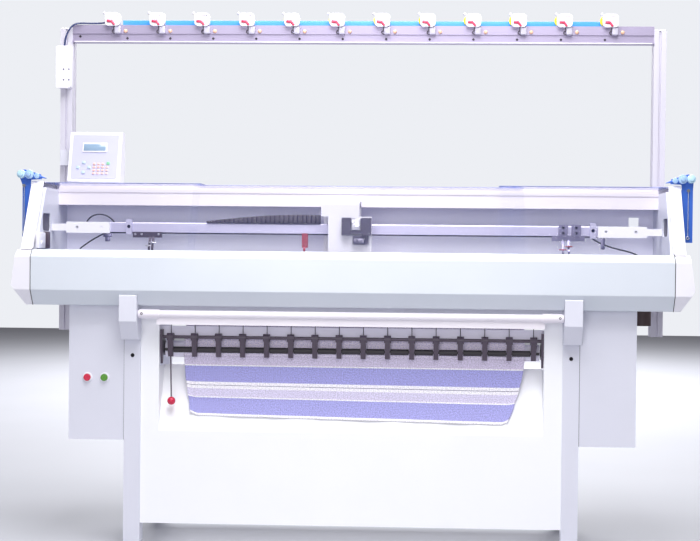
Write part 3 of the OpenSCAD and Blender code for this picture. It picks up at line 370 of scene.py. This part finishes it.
clasp = joined([
    brick((clasp_x - 0.017, grip_y + 0.008, clasp_low),
          (clasp_x + 0.017, grip_y + 0.013, clasp_high), 0.002),
    stud(clasp_x - 0.01, 1.212, grip_y + 0.003, grip_y + 0.012, 0.007),
    stud(clasp_x + 0.009, 1.197, grip_y + 0.003, grip_y + 0.012, 0.006),
    brick((clasp_x - 0.006, grip_y, 1.190), (clasp_x + 0.014, grip_y + 0.006, 1.2), 0.002),
])
settle(clasp, "carriage_clasp", "carriage", bright_steel)
lever = joined([
    brick((0.004, grip_y + 0.004, 1.132), (0.046, grip_y + 0.018, 1.152), 0.006, 3),
    stud(0.012, 1.144, grip_y - 0.004, grip_y + 0.008, 0.008),
    stud(0.038, 1.140, grip_y - 0.004, grip_y + 0.008, 0.006),
])
settle(lever, "carriage_lever", "carriage", lever_steel)


# Yarn rail, its brackets and the feeders
# A flat bar of drawn steel with a dark track and clamps, between two white enamelled brackets. Its
# feeders, of blackened steel, dull red plastic and tempered steel, have porcelain tips.
rail_bar = drawn_metal("drawn_flat_steel", "#C4C0D9", "#B2AECA", 0.4, (4, 500, 500), 0.4)
bracket_white = enamel("white_stove_enamel", "#F2F0F6", "#EAE8F0", 0.36)
blackened = drawn_metal(
    "blackened_feeder_steel", "#443C46", "#5A525E", 0.42, (200, 200, 200), 0.6
)
violet_steel = drawn_metal(
    "tempered_feeder_steel", "#8E8AA4", "#6E6A86", 0.34, (200, 200, 300), 0.8
)
rose_plastic = moulded("moulded_dull_red_plastic", "#A04050", "#8C3646", 0.4)
porcelain = moulded("glazed_porcelain", "#F4F1EA", "#EFEAE0", 0.16, 200.0)
dress(rail_bar, "yarn_rail")
dress(bracket_white, "yarn_rail_brackets")
dress(blackened, "left_feeder")
dress(rose_plastic, "middle_feeder")
dress(violet_steel, "right_feeder")
rail_low, rail_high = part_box("yarn_rail")
rail_front, bracket_front = rail_low.y, -0.109
bracket_screws = [(x, bracket_front, 1.185) for x in (-1.047, -0.982, 0.937, 1.047)]
settle(
    repeated(socket_screw(0.0055, 0.003), bracket_screws),
    "rail_bracket_screws", "machine", bright_steel
)
track = joined([
    brick((start, -0.1003, 1.1643), (end, -0.0985, 1.1688), 0.0003)
    for start, end in ((-0.923, -0.861), (-0.839, 0.878))
])
settle(track, "yarn_rail_track", "machine", black_screw)
clamp_edge = 0.0015
clamps = joined([
    brick((-0.948, -0.108, 1.150), (-0.916, -0.098, 1.163), clamp_edge),
    brick((-0.941, -0.107, 1.133), (-0.923, -0.099, 1.152), clamp_edge),
    brick((0.919, -0.107, 1.120), (0.934, -0.099, 1.162), clamp_edge),
])
settle(clamps, "yarn_rail_clamps", "machine", violet_steel)
settle(
    repeated(socket_screw(0.006, 0.004), [(x, rail_front, 1.188) for x in (-0.850, 0.889)]),
    "rail_stop_screws", "machine", black_screw
)


def porcelain_tip(x):
    # A short tube with a rounded mouth that carries the yarn over the gap between the beds
    deselect()
    bpy.ops.mesh.primitive_torus_add(
        major_segments=24, minor_segments=8, major_radius=0.0032, minor_radius=0.0014,
        location=(x, -0.13, 1.0985)
    )
    return bpy.context.object


left_x = (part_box("left_feeder")[0].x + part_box("left_feeder")[1].x) / 2
right_x = (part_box("right_feeder")[0].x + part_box("right_feeder")[1].x) / 2
left_tips, right_tips = (left_x + 0.012, left_x + 0.024), (right_x - 0.021, right_x)
for name, body, xs in (
    ("left_feeder_tips", "left_yarn_feeder", left_tips),
    ("right_feeder_tips", "right_yarn_feeder", right_tips),
    ("middle_feeder_tip", "middle_yarn_feeder", (-0.185,)),
):
    settle(joined([porcelain_tip(x) for x in xs]), name, body, porcelain)
left_screws = [(left_x + x, -0.1105, 1.16) for x in (-0.044, -0.02, 0.044)]
right_screws = [(right_x + x, -0.1245, z) for x in (-0.020, 0.028) for z in (1.178, 1.198)]
settle(
    repeated(socket_screw(0.004, 0.003), left_screws),
    "left_feeder_screws", "left_yarn_feeder", bright_steel
)
settle(
    repeated(socket_screw(0.005, 0.003), right_screws),
    "right_feeder_screws", "right_yarn_feeder", black_screw
)


def cross_pins(xs):
    # Two set screws across each nozzle that hold its porcelain tip
    pins = []
    for x, z in zip(xs, (1.118, 1.130)):
        pins.append(peg((x - 0.014, -0.126, z), (x + 0.014, -0.126, z), 0.0022, 0.0005, 16))
        pins.append(stud(x, z, -0.134, -0.122, 0.0034, 0.0005, 16))
    return joined(pins)


settle(cross_pins(left_tips), "left_feeder_pins", "left_yarn_feeder", bright_steel)
settle(
    cross_pins(right_tips), "right_feeder_pins", "right_yarn_feeder", rose_plastic
)


# Casing: folded front and rear sheets, rear wall, end caps and covers
# Two-millimetre steel sheet, folded and stove-enamelled cool white, between moulded ABS ends in a
# slightly warmer white, with a thin black rod along each seam as painted shade of the gap, and a
# bead on each side of the windows.
casing_enamel = enamel("cool_white_stove_enamel", "#D9DEE7", "#D2D8E2", 0.3)
wall_enamel = enamel("lavender_white_enamel", "#F3F1FF", "#E9E7FA", 0.42)
white_abs = moulded("moulded_white_abs", "#EEECF4", "#E8E6F0", 0.36)
dress(casing_enamel, "front_casing", "rear_casing")
dress(wall_enamel, "rear_wall")
dress(white_abs, "end_caps", "side_covers")
plate_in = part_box("base_frame")[1].x
hole_y, hole_z = -0.181, 1.202


def hole_lining(side):
    # A black moulded cup behind the hand hole: an open box drawn from the inner face outwards
    piece = block((side * (plate_in + 0.019), hole_y, hole_z), (0.03, 0.10, 0.064))
    bpy.ops.object.mode_set(mode="EDIT")
    shape = bmesh.from_edit_mesh(piece.data)
    for face in shape.faces:
        face.select_set(face.normal.x * side < -0.9)
    bmesh.update_edit_mesh(piece.data)
    bpy.ops.mesh.inset(thickness=0.003, depth=0)
    bpy.ops.mesh.extrude_region_move(TRANSFORM_OT_translate={"value": (side * 0.026, 0, 0)})
    bpy.ops.object.mode_set(mode="OBJECT")
    return bevelled(piece, 0.0012)


linings = joined([hole_lining(-1), hole_lining(1)])
settle(linings, "hand_hole_linings", "machine", black_nylon)
seam = [(-0.314, 0.899), (-0.350, 0.954), (-0.350, 1.075), (-0.325, 1.100), (-0.292, 1.100)]
seam_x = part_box("front_casing")[1].x + 0.0005
# Thin black rods along the seams to the end caps: painted shade of the narrow gap there
seam_shade = joined([
    peg((side * seam_x, *start), (side * seam_x, *end), 0.0014, 0.0003, 12)
    for side in (-1, 1) for start, end in zip(seam, seam[1:])
])
settle(seam_shade, "casing_seam_shade", "machine", black_rubber)
cover_x, cover_front, cover_lean = 1.1528, -0.3265, 134 / 254
beads = joined([
    peg((side * cover_x, cover_front + 0.003 * cover_lean, 1.103),
        (side * cover_x, cover_front + 0.252 * cover_lean, 1.352), 0.0022)
    for side in (-1, 1)
])
settle(beads, "cover_beads", "machine", white_abs)
switch = joined([
    brick((-plate_in, -0.325, 1.104), (-plate_in + 0.012, -0.235, 1.162), 0.003),
    brick((-plate_in + 0.011, -0.295, 1.118), (-plate_in + 0.015, -0.265, 1.132), 0.002),
])
settle(switch, "left_switch_plate", "machine", white_abs)
dark_brown = moulded("moulded_dark_brown_plastic", "#4A3A3C", "#564447", 0.5)
guard = joined([
    brick((-plate_in, -0.228, 1.104), (-plate_in + 0.010, -0.165, 1.166), 0.003),
    brick((-plate_in + 0.009, -0.216, 1.112), (-plate_in + 0.013, -0.177, 1.158), 0.002),
])
settle(guard, "left_cable_guard", "machine", dark_brown)


# Top rail and sliding windows
# The rail is extruded, silver-anodised aluminium. The windows are 3 mm acrylic, heat-bent along
# two lines, clear with a blue cast at their edges; they slide past one another in two tracks.
rail_anodised = drawn_metal(
    "anodised_extruded_aluminium", "#EFE9F0", "#E3DCE6", 0.42, (3, 500, 500), 0.3
)
dress(rail_anodised, "top_rail")
acrylic, tree, shader, place = start_material("bent_clear_acrylic")
rim = add_node(tree, "ShaderNodeLayerWeight", {"Blend": 0.5})
edge_tint = {1: 0.72, 2: 0.97, 3: 0.02, 4: 0.96}
cover = add_node(tree, "ShaderNodeMapRange", edge_tint, {0: rim.outputs["Facing"]})
haze = clouds(tree, place, 30.0, 3.0)
polish = add_node(tree, "ShaderNodeMapRange", {3: 0.02, 4: 0.07}, {0: haze.outputs[0]})
tree.links.new(cover.outputs[0], shader.inputs["Alpha"])
tree.links.new(polish.outputs[0], shader.inputs["Roughness"])
shader.inputs["Base Color"].default_value = linear("#3A66D2")
shader.inputs["IOR"].default_value = 1.49
dress(acrylic, "left_window", "centre_window", "right_window")


# Start bar and take-down
# A white enamelled bar that starts and stops the machine, and below it the take-down: enamelled
# plate, blackened arms, a rubber-covered main roller and black pressure sleeves on a thin shaft.
bar_enamel = enamel("warm_white_stove_enamel", "#EFEAF2", "#E6E0EA", 0.32)
plate_enamel = enamel("pale_lavender_enamel", "#F2EEFC", "#E8E4F5", 0.4)
arm_black = enamel("black_japanned_iron", "#4C4150", "#5A4E5E", 0.36, 0.08)
roller_rubber = moulded("pale_roller_rubber", "#F4F0FF", "#EAE5F8", 0.55)
sleeve_black = moulded("black_sleeve_rubber", "#2A262B", "#353036", 0.5)
red_ball = moulded("moulded_red_phenolic", "#D42B50", "#C82648", 0.18)
dress(bar_enamel, "start_bar")
dress(plate_enamel, "takedown_plate")
dress(arm_black, "takedown_brackets", "pressing_arms")
dress(roller_rubber, "main_roller")
dress(sleeve_black, "pressure_roller")
dress(red_ball, "release_knob")
bar_y, bar_radius = -0.318, 0.017
bar_front = bar_y - bar_radius
settle(
    repeated(
        socket_screw(0.0045, 0.003), [(x, bar_front + 0.0004, 0.870) for x in (-0.752, 0.752)]
    ),
    "start_bar_screws", "start_stop_bar", black_screw
)


# Detector wires on the take-down plate, one over each arm
# Thin blackened wires that stand in front of the plate, at the pitch of the pressing arms. They
# sense cloth that gathers above the roller, and are fixed here.
arm_count, arm_pitch = 16, 0.0888
plate_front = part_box("takedown_plate")[0].y
wire_y = plate_front - 0.0006
wire = peg((0, wire_y, 0.792), (0, wire_y, 0.848), 0.0013, 0.0003, 12)
settle(
    repeated(wire, [((i - (arm_count - 1) / 2) * arm_pitch, 0, 0) for i in range(arm_count)]),
    "detector_wires", "machine", black_screw
)


# Apron and cabinets
# White enamelled sheet behind the fabric; grey enamelled cabinets with a dark strip on the inner
# edge, painted shade of the gap towards it, and a red and a green button in white bezels.
apron_enamel = enamel("pure_white_enamel", "#F7F7FB", "#F1F2F8", 0.42)
dress(apron_enamel, "apron")
dress(grey_enamel, "left_cabinet", "right_cabinet")
cabinet_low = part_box("left_cabinet")[0]
# A dark strip on each cabinet's inner edge: painted shade of the gap between cabinet and leg
gap_shade_width, gap_shade_top = 0.0018, 0.897
gap_shade_strips = joined([
    brick((left, cabinet_low.y - 0.0004, cabinet_low.z),
          (left + gap_shade_width, cabinet_low.y + 0.001, gap_shade_top), 0.0002)
    for left in (-0.8308, 0.8290)
])
settle(gap_shade_strips, "cabinet_gap_shade", "machine", black_rubber)
button_red = moulded("moulded_red_button", "#D2304E", "#C82A48", 0.24)
button_green = moulded("moulded_green_button", "#5E9A3A", "#558E34", 0.24)
dress(white_abs, "button_bezels")
dress(button_red, "red_button")
dress(button_green, "green_button")


# Knitted sample
# A strip of rib knitting with traditional stripes, hung from the needles and over the slide.
# It is one sheet: laid out along its real path, with its own length and width as UV.
path_knots = [
    (-0.130, 1.080), (-0.130, 0.928), (-0.2078, 0.746), (-0.2078, 0.553), (-0.2448, 0.471)
]


def sample_path(length):
    # A point of the middle of the cloth, given the length from the needles downwards
    for (y0, z0), (y1, z1) in zip(path_knots, path_knots[1:]):
        span = math.hypot(y1 - y0, z1 - z0)
        if length <= span or (y1, z1) == path_knots[-1]:
            return y0 + (y1 - y0) * length / span, z0 + (z1 - z0) * length / span
        length -= span


cloth_len, cloth_w, cloth_x = 0.626, 1.2531, 0.0085
roller_exit = 0.38
across, along = 250, 128
hem_slope, corner_lift, left_draw, right_draw = 0.042, 0.014, 0.030, 0.060
wave_depth, curl_depth, thickness = 0.0055, 0.010, 0.0018
deselect()
bpy.ops.mesh.primitive_grid_add(x_subdivisions=across, y_subdivisions=along, size=1)
cloth = bpy.context.object
uv = cloth.data.uv_layers[0]
for loop in cloth.data.loops:
    v = cloth.data.vertices[loop.vertex_index].co
    uv.data[loop.index].uv = ((v.x + 0.5) * cloth_w, (0.5 - v.y) * cloth_len)
for vertex in cloth.data.vertices:
    u, run = vertex.co.x * 2, (0.5 - vertex.co.y) * cloth_len
    hang = max(0.0, run - roller_exit)
    loose = hang / (cloth_len - roller_exit)
    corner = max(0.0, abs(u) - 0.94) / 0.06
    drop = hang * (1 - hem_slope * (1 - u)) - corner_lift * corner ** 2 * loose ** 2
    y, z = sample_path(min(run, roller_exit) + drop)
    drawn_in = (left_draw if u < 0 else right_draw) * loose ** 1.5
    ripple = 0.0012 * math.sin(run * 90) * loose
    x = cloth_x + u * cloth_w / 2 - u * abs(u) * drawn_in + ripple
    broad, fine = 0.5 + 0.5 * math.sin(u * 10.5 + 1.3), 0.5 + 0.5 * math.sin(u * 23 + run * 9)
    wave = broad * 0.6 + fine * 0.4
    curl = curl_depth * max(0.0, abs(u) - 0.985) / 0.015 * loose
    vertex.co = (x, y - wave_depth * loose * wave - curl, z)
settle(cloth, "knitted_strip", "machine", apron_enamel, 60)
thick = cloth.modifiers.new("yarn", "SOLIDIFY")
thick.thickness = thickness
thick.offset = 0
pick(cloth)
bpy.ops.object.modifier_apply(modifier="yarn")
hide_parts("knitted_sample")

# Two-ply acrylic yarn in a plain rib: wales 8 mm wide and courses 6 mm high, drawn as crossed
# waves, and mottled bands where a blue and a white yarn run together.
knit, tree, shader = start_material("knitted_two_ply_yarn")[:3]
own = add_node(tree, "ShaderNodeUVMap", {"uv_map": cloth.data.uv_layers[0].name})
split = add_node(tree, "ShaderNodeSeparateXYZ", None, {0: own.outputs[0]})
share = add_node(tree, "ShaderNodeMath", {"operation": "DIVIDE", 1: cloth_len}, {
    0: split.outputs["Y"]
})
# The first band, white yarn from the needles down to the roller, is tinted violet: painted shade
bands = [
    (0.0, "#F2E8FF"), (0.381, "#D8CEE8"), (0.417, "#F8F5FC"), (0.423, "#A8A7E2"),
    (0.485, "#F8F5FC"), (0.497, "#8C88A0"), (0.501, "#F8F5FC"), (0.512, "#DCD5EE"),
    (0.543, "#F8F5FC"), (0.549, "#A4A3DC"), (0.615, "#F8F5FC"),
]
ramp = add_node(tree, "ShaderNodeValToRGB", None, {0: share.outputs[0]})
ramp.color_ramp.interpolation = "CONSTANT"
stops = ramp.color_ramp.elements
while len(stops) < len(bands):
    stops.new(0.5)
for stop, (start, _) in zip(stops, bands):
    stop.position = start / cloth_len
for stop, (_, code) in zip(stops, bands):
    stop.color = linear(code)
stitch = add_node(tree, "ShaderNodeMapping", {"Scale": (120, 160, 1)}, {"Vector": own.outputs[0]})
speck = clouds(tree, stitch.outputs[0], 1.6, 2.0)
contrast = {1: 0.36, 2: 0.64, 3: 0.8, 4: 1.2}
fleck = add_node(tree, "ShaderNodeMapRange", contrast, {0: speck.outputs[0]})
mottled = add_node(tree, "ShaderNodeVectorMath", {"operation": "SCALE"}, {
    0: ramp.outputs[0], "Scale": fleck.outputs[0]
})
tree.links.new(mottled.outputs[0], shader.inputs["Base Color"])
rib = {"Scale": 40.0, "Distortion": 1.5, "Detail": 1.0, "bands_direction": "X"}
row = {"Scale": 52.0, "Distortion": 1.0, "bands_direction": "Y"}
wales = add_node(tree, "ShaderNodeTexWave", rib, {"Vector": own.outputs[0]})
courses = add_node(tree, "ShaderNodeTexWave", row, {"Vector": own.outputs[0]})
relief = add_node(tree, "ShaderNodeMath", {"operation": "MULTIPLY"}, {
    0: wales.outputs[1], 1: courses.outputs[1]
})
bump = add_node(tree, "ShaderNodeBump", {"Strength": 0.55, "Distance": 0.0015}, {
    "Height": relief.outputs[0]
})
tree.links.new(bump.outputs[0], shader.inputs["Normal"])
shader.inputs["Roughness"].default_value = 0.9
shader.inputs["Sheen Weight"].default_value = 0.25
cloth.data.materials.clear()
cloth.data.materials.append(knit)


# Gantry: posts, beam and yarn units
# Slotted aluminium posts with white end caps, and an aluminium beam with thirteen black screws and
# a white strip on its lower lip that is a painted highlight. Its yarn units are white ABS heads
# with a red lever and a yellow disc behind.
post_anodised = drawn_metal(
    "anodised_slotted_aluminium", "#DCD9E6", "#CFCCDA", 0.36, (500, 500, 3), 0.3
)
beam_anodised = drawn_metal(
    "anodised_beam_aluminium", "#B2A9C3", "#A198B4", 0.36, (3, 500, 500), 0.5
)
dress(post_anodised, "rear_posts")
dress(beam_anodised, "cross_beam")
dress(white_abs, "yarn_unit_bodies", "stop_motion_box", "panel_housing")
dress(black_nylon, "yarn_unit_arms")
beam_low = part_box("cross_beam")[0]
beam_front = beam_low.y + 0.004
unit_count, unit_pitch, screw_pitch = 12, 0.1793, 0.1725
unit_xs = [(i - (unit_count - 1) / 2) * unit_pitch for i in range(unit_count)]
unit_front, beam_top = 0.194, 2.001
screw_spots = [(-1.125, beam_front + 0.004, 1.954)]
screw_spots += [(-0.935 + screw_pitch * i, beam_front + 0.004, 1.947) for i in range(12)]
settle(
    repeated(socket_screw(0.0045, 0.003), screw_spots),
    "beam_screws", "machine", black_screw
)
# A white strip along the beam's lower lip: a painted highlight of that edge
lip_highlight_end = 1.147
lip_highlight = brick(
    (-lip_highlight_end, beam_low.y - 0.0005, beam_low.z + 0.0002),
    (lip_highlight_end, beam_low.y + 0.0015, beam_low.z + 0.0042), 0.0004
)
settle(lip_highlight, "beam_lip_highlight", "machine", white_abs)


def on_units(master, name, material):
    # One fitting, modelled at the middle of the beam, on every yarn unit
    settle(repeated(master, [(x, 0, 0) for x in unit_xs]), name, "machine", material)


red_abs = moulded("moulded_red_abs", "#E0466A", "#D43C5E", 0.3)
lever = joined([
    peg((-0.026, unit_front, beam_top + 0.013), (-0.006, unit_front, beam_top + 0.011), 0.0058),
    peg((-0.008, unit_front, beam_top + 0.012), (0.004, unit_front, beam_top - 0.003), 0.0046),
])
on_units(lever, "unit_levers", red_abs)
yellow_abs = moulded("moulded_yellow_abs", "#EEE02A", "#E4D41E", 0.34)
disc = stud(-0.020, beam_top + 0.025, 0.243, 0.247, 0.0215, 0.001, 40)
on_units(disc, "unit_side_plates", yellow_abs)
tail_abs = moulded("moulded_silver_grey_abs", "#C9C5D6", "#BFBBCD", 0.32)
tail = brick(
    (0.002, unit_front + 0.006, beam_top - 0.036),
    (0.027, unit_front + 0.0218, beam_top - 0.0055), 0.004, 3
)
on_units(tail, "unit_tails", tail_abs)
grey_abs = moulded("moulded_pearl_grey_abs", "#E4E0EC", "#DAD6E4", 0.3)
shield = brick(
    (-0.0076, unit_front + 0.0015, beam_top + 0.0075),
    (0.0196, unit_front + 0.0045, beam_top + 0.0365), 0.006, 4
)
on_units(shield, "unit_shields", grey_abs)
amber = moulded("amber_lamp_lens", "#F2C8A8", "#F0B898", 0.2)
deselect()
bpy.ops.mesh.primitive_uv_sphere_add(
    segments=16, ring_count=10, radius=0.0075,
    location=(0.045, beam_front - 0.003, beam_top - 0.024)
)
lens = bpy.context.object
lens.scale = (1, 0.6, 1)
apply_place()
on_units(lens, "unit_lamps", amber)
post_x = 1.179
cap = brick((-0.0235, 0.2165, 1.985), (0.0235, 0.2755, 1.989), 0.0015)
settle(
    repeated(cap, [(x, 0, 0) for x in (-post_x, post_x)]),
    "post_caps", "machine", white_abs
)


# Signal lead and flat cable on the beam
# A round lead from the stop-motion box over the post to the first unit, a bright blue flat cable
# from unit to unit along the beam, and four small lamps on the box.
def tube(points, radius):
    # A round lead along points: a path of one spline, given its thickness and made a mesh
    deselect()
    bpy.ops.curve.primitive_nurbs_path_add()
    path = bpy.context.object
    spline = path.data.splines[0]
    spline.points.add(max(0, len(points) - len(spline.points)))
    for point, place in zip(spline.points, points):
        point.co = (*place, 1)
    spline.use_endpoint_u = True
    spline.resolution_u = 6
    path.data.bevel_depth = radius
    path.data.bevel_resolution = 3
    path.data.use_fill_caps = True
    bpy.ops.object.convert(target="MESH")
    return bpy.context.object


lead_sheath = moulded("navy_pvc_sheath", "#26305E", "#2E3A6C", 0.38)
flat_sheath = moulded("bright_blue_pvc", "#4FA0EA", "#4394E2", 0.4)
box_low, box_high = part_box("stop_motion_box")
box_x, box_y, box_top = (box_low.x + box_high.x) / 2, (box_low.y + box_high.y) / 2, box_high.z
box_height = box_top - box_low.z
lamps = joined([
    stud(box_x + x, box_low.z + part * box_height, box_low.y - 0.0015, box_low.y + 0.002, 0.0034)
    for part in (0.19, 0.44) for x in (0.003, 0.024)
])
settle(lamps, "stop_box_lamps", "machine", violet_steel)
first, low = unit_xs[0] - 0.016, beam_top + 0.0065
lead = tube([
    (box_x, box_y, box_top - 0.004), (box_x + 0.001, box_y, box_top + 0.022),
    (box_x + 0.008, box_y, box_top + 0.048), (box_x + 0.020, box_y, box_top + 0.070),
    (box_x + 0.038, box_y, low - 0.006), (box_x + 0.058, box_y + 0.013, low),
    (first - 0.080, box_y + 0.028, low), (first - 0.044, box_y + 0.033, low + 0.001),
    (first - 0.020, box_y + 0.033, low + 0.005), (first + 0.001, box_y + 0.032, low + 0.008),
], 0.0035)
settle(lead, "signal_lead", "machine", lead_sheath, 60)
strip = brick(
    (first + 0.042, 0.249, beam_top), (unit_xs[-1] - 0.004, 0.253, beam_top + 0.024), 0.0015
)
settle(strip, "beam_flat_cable", "machine", flat_sheath)
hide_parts("signal_cable")
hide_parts("signal_cable")


# Control panel
# A white desk housing with a printed membrane, a grey-blue liquid crystal window, four arrow keys,
# a number pad and a green key. Its keys are domes under the membrane.
membrane = moulded("screen_printed_polyester_membrane", "#BFBFDA", "#B9B9D5", 0.3)
dress(membrane, "panel_keypad")
dress(grey_enamel, "panel_arm")
tilt = math.radians(15)
panel_x, panel_y, panel_z = -1.038, 0.094, 1.368


def on_panel(x, rise, out):
    # A point of the tilted face: x from its middle, up its slope, and out of it
    return (
        panel_x + x, panel_y + rise * math.sin(tilt) - out * math.cos(tilt),
        panel_z + rise * math.cos(tilt) + out * math.sin(tilt)
    )


def key_pad(x, rise, width, height, out, thick, edge=0.001):
    # A softened block that lies on the tilted face
    return bevelled(block(on_panel(x, rise, out), (width, thick, height), tilt), edge)


face_out = 0.002
key_out = face_out + 0.0022
lcd_x, lcd_rise = -0.002, 0.140
border = key_pad(lcd_x, lcd_rise, 0.098, 0.038, face_out + 0.0024, 0.0012)
settle(border, "lcd_border", "machine", white_abs)
lcd_glass, tree, shader, place = start_material("liquid_crystal_glass")
tone = two_tones(tree, "#8FA6BE", "#839BB4", clouds(tree, place, 350.0, 1.0))
tree.links.new(tone.outputs[2], shader.inputs["Base Color"])
shader.inputs["Roughness"].default_value = 0.12
shader.inputs["Coat Weight"].default_value = 0.6
window = key_pad(lcd_x, lcd_rise, 0.088, 0.028, face_out + 0.0034, 0.0016)
settle(window, "lcd_window", "machine", lcd_glass)
arrow_print = moulded("blue_grey_key_dome", "#B9CDDD", "#AFC4D6", 0.3)
number_print = moulded("coral_key_dome", "#F2C9C0", "#EDBDB2", 0.3)
green_print = moulded("green_key_dome", "#8CC8A4", "#80BE98", 0.3)
arrows = [
    key_pad(-0.042 + 0.022 * x, 0.058 + 0.020 * z, 0.013, 0.011, key_out, 0.003, 0.0012)
    for x, z in ((1, 0), (-1, 0), (0, 1), (0, -1))
]
settle(joined(arrows), "arrow_keys", "machine", arrow_print)
numbers = [
    key_pad(0.017 * i, 0.034 + 0.013 * j, 0.0105, 0.008, key_out, 0.0028, 0.001)
    for i in range(4) for j in range(4) if i + j < 6
]
settle(joined(numbers), "number_keys", "machine", number_print)
enter = key_pad(0.055, 0.075, 0.013, 0.012, key_out, 0.003, 0.0012)
settle(enter, "enter_key", "machine", green_print)


# Side tensioners and take-up arms
# Pressed steel plates in bright blue enamel. Each carries a stack of pale blue tension discs on a
# stud, a paler moulded knob and a sprung wire arm.
blue_enamel = enamel("bright_blue_enamel", "#3F6FD0", "#3764C2", 0.28)
knob_blue = moulded("moulded_pale_blue_knob", "#BFE0F2", "#B2D6EC", 0.3)
disc_blue = enamel("pale_blue_disc_enamel", "#A9C8EE", "#9BBCE6", 0.26)
spring_wire = drawn_metal("bright_spring_wire", "#D8DCE6", "#C0C6D2", 0.2, (300, 300, 300))
dress(blue_enamel, "side_tensioners")
dress(spring_wire, "left_takeup_arm", "right_takeup_arm")
disc_x, disc_z, disc_radius = 1.199, 1.377, 0.0165
knob_x, knob_z = 1.231, 1.378
for side, word in ((-1, "left"), (1, "right")):
    head = joined([
        stud(side * disc_x, disc_z, -0.2235, -0.2195, disc_radius, 0.001, 40),
        stud(side * disc_x, disc_z, -0.2180, -0.2135, disc_radius, 0.001, 40),
        stud(side * disc_x, disc_z, -0.2310, -0.2230, 0.0090, 0.002),
        stud(side * 1.173, 1.372, -0.2130, -0.2070, 0.0105, 0.002, 32),
    ])
    settle(head, word + "_tension_discs", "machine", disc_blue)
    knob = joined([
        stud(side * knob_x, knob_z, -0.2175, -0.1935, 0.0156, 0.003, 40),
        stud(side * knob_x, knob_z, -0.2240, -0.2160, 0.0090, 0.002),
    ])
    settle(knob, word + "_tension_knob", "machine", knob_blue)


# Drive: motor, belt and pulleys
# A brown-enamelled motor under the right-hand shelf turns a toothed rubber belt, which runs over
# two turned aluminium pulleys.
motor_enamel = enamel("dark_brown_motor_enamel", "#4A3A3A", "#564445", 0.45, 0.1)
belt_rubber = moulded("black_belt_rubber", "#242226", "#2E2B30", 0.6)
pulley_alloy = drawn_metal("turned_aluminium", "#B4B9C2", "#9A9FAA", 0.3, (30, 30, 600))
dress(motor_enamel, "drive_motor")
dress(belt_rubber, "drive_belt")
dress(pulley_alloy, "drive_pulley", "idler_pulley")


# Drag chain and loose leads in the cover
# A nylon energy chain that carries the carriage's lead along the yarn rail, and short black leads
# at the rail's ends that go to the stops behind it.
chain_low, chain_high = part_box("drag_chain")
link, count, arch, arch_turn = 0.0172, 25, 0.026, 105
links = []
for i in range(count):
    t = i / (count - 1)
    rise = arch * math.sin(math.radians(arch_turn * t))
    x = chain_low.x + i * link
    near = (x, chain_low.y, chain_low.z + 0.0005)
    far = (x + link - 0.001, chain_high.y, chain_low.z + 0.008 + rise)
    links.append(brick(near, far, 0.0018))
chain = joined(links)
settle(chain, "chain_links", "machine", black_nylon)
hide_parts("drag_chain")
rail_back = rail_high.y
leads = joined([
    tube([
        (-1.020, rail_back, 1.196), (-1.012, -0.098, 1.214), (-0.985, -0.099, 1.243),
        (-0.945, -0.099, 1.238), (-0.920, -0.098, 1.222), (-0.905, rail_back, 1.200),
    ], 0.0028),
    tube([
        (-1.040, -0.092, 1.105), (-1.020, -0.100, 1.118), (-0.985, -0.102, 1.148),
        (-0.950, -0.098, 1.158), (-0.935, rail_back + 0.002, 1.172),
    ], 0.0026),
    tube([
        (0.870, rail_back + 0.002, 1.176), (0.885, -0.098, 1.160), (0.930, -0.103, 1.132),
        (0.985, -0.103, 1.120), (1.035, -0.098, 1.112), (1.060, -0.092, 1.098),
    ], 0.0028),
])
settle(leads, "stop_leads", "machine", black_rubber, 60)
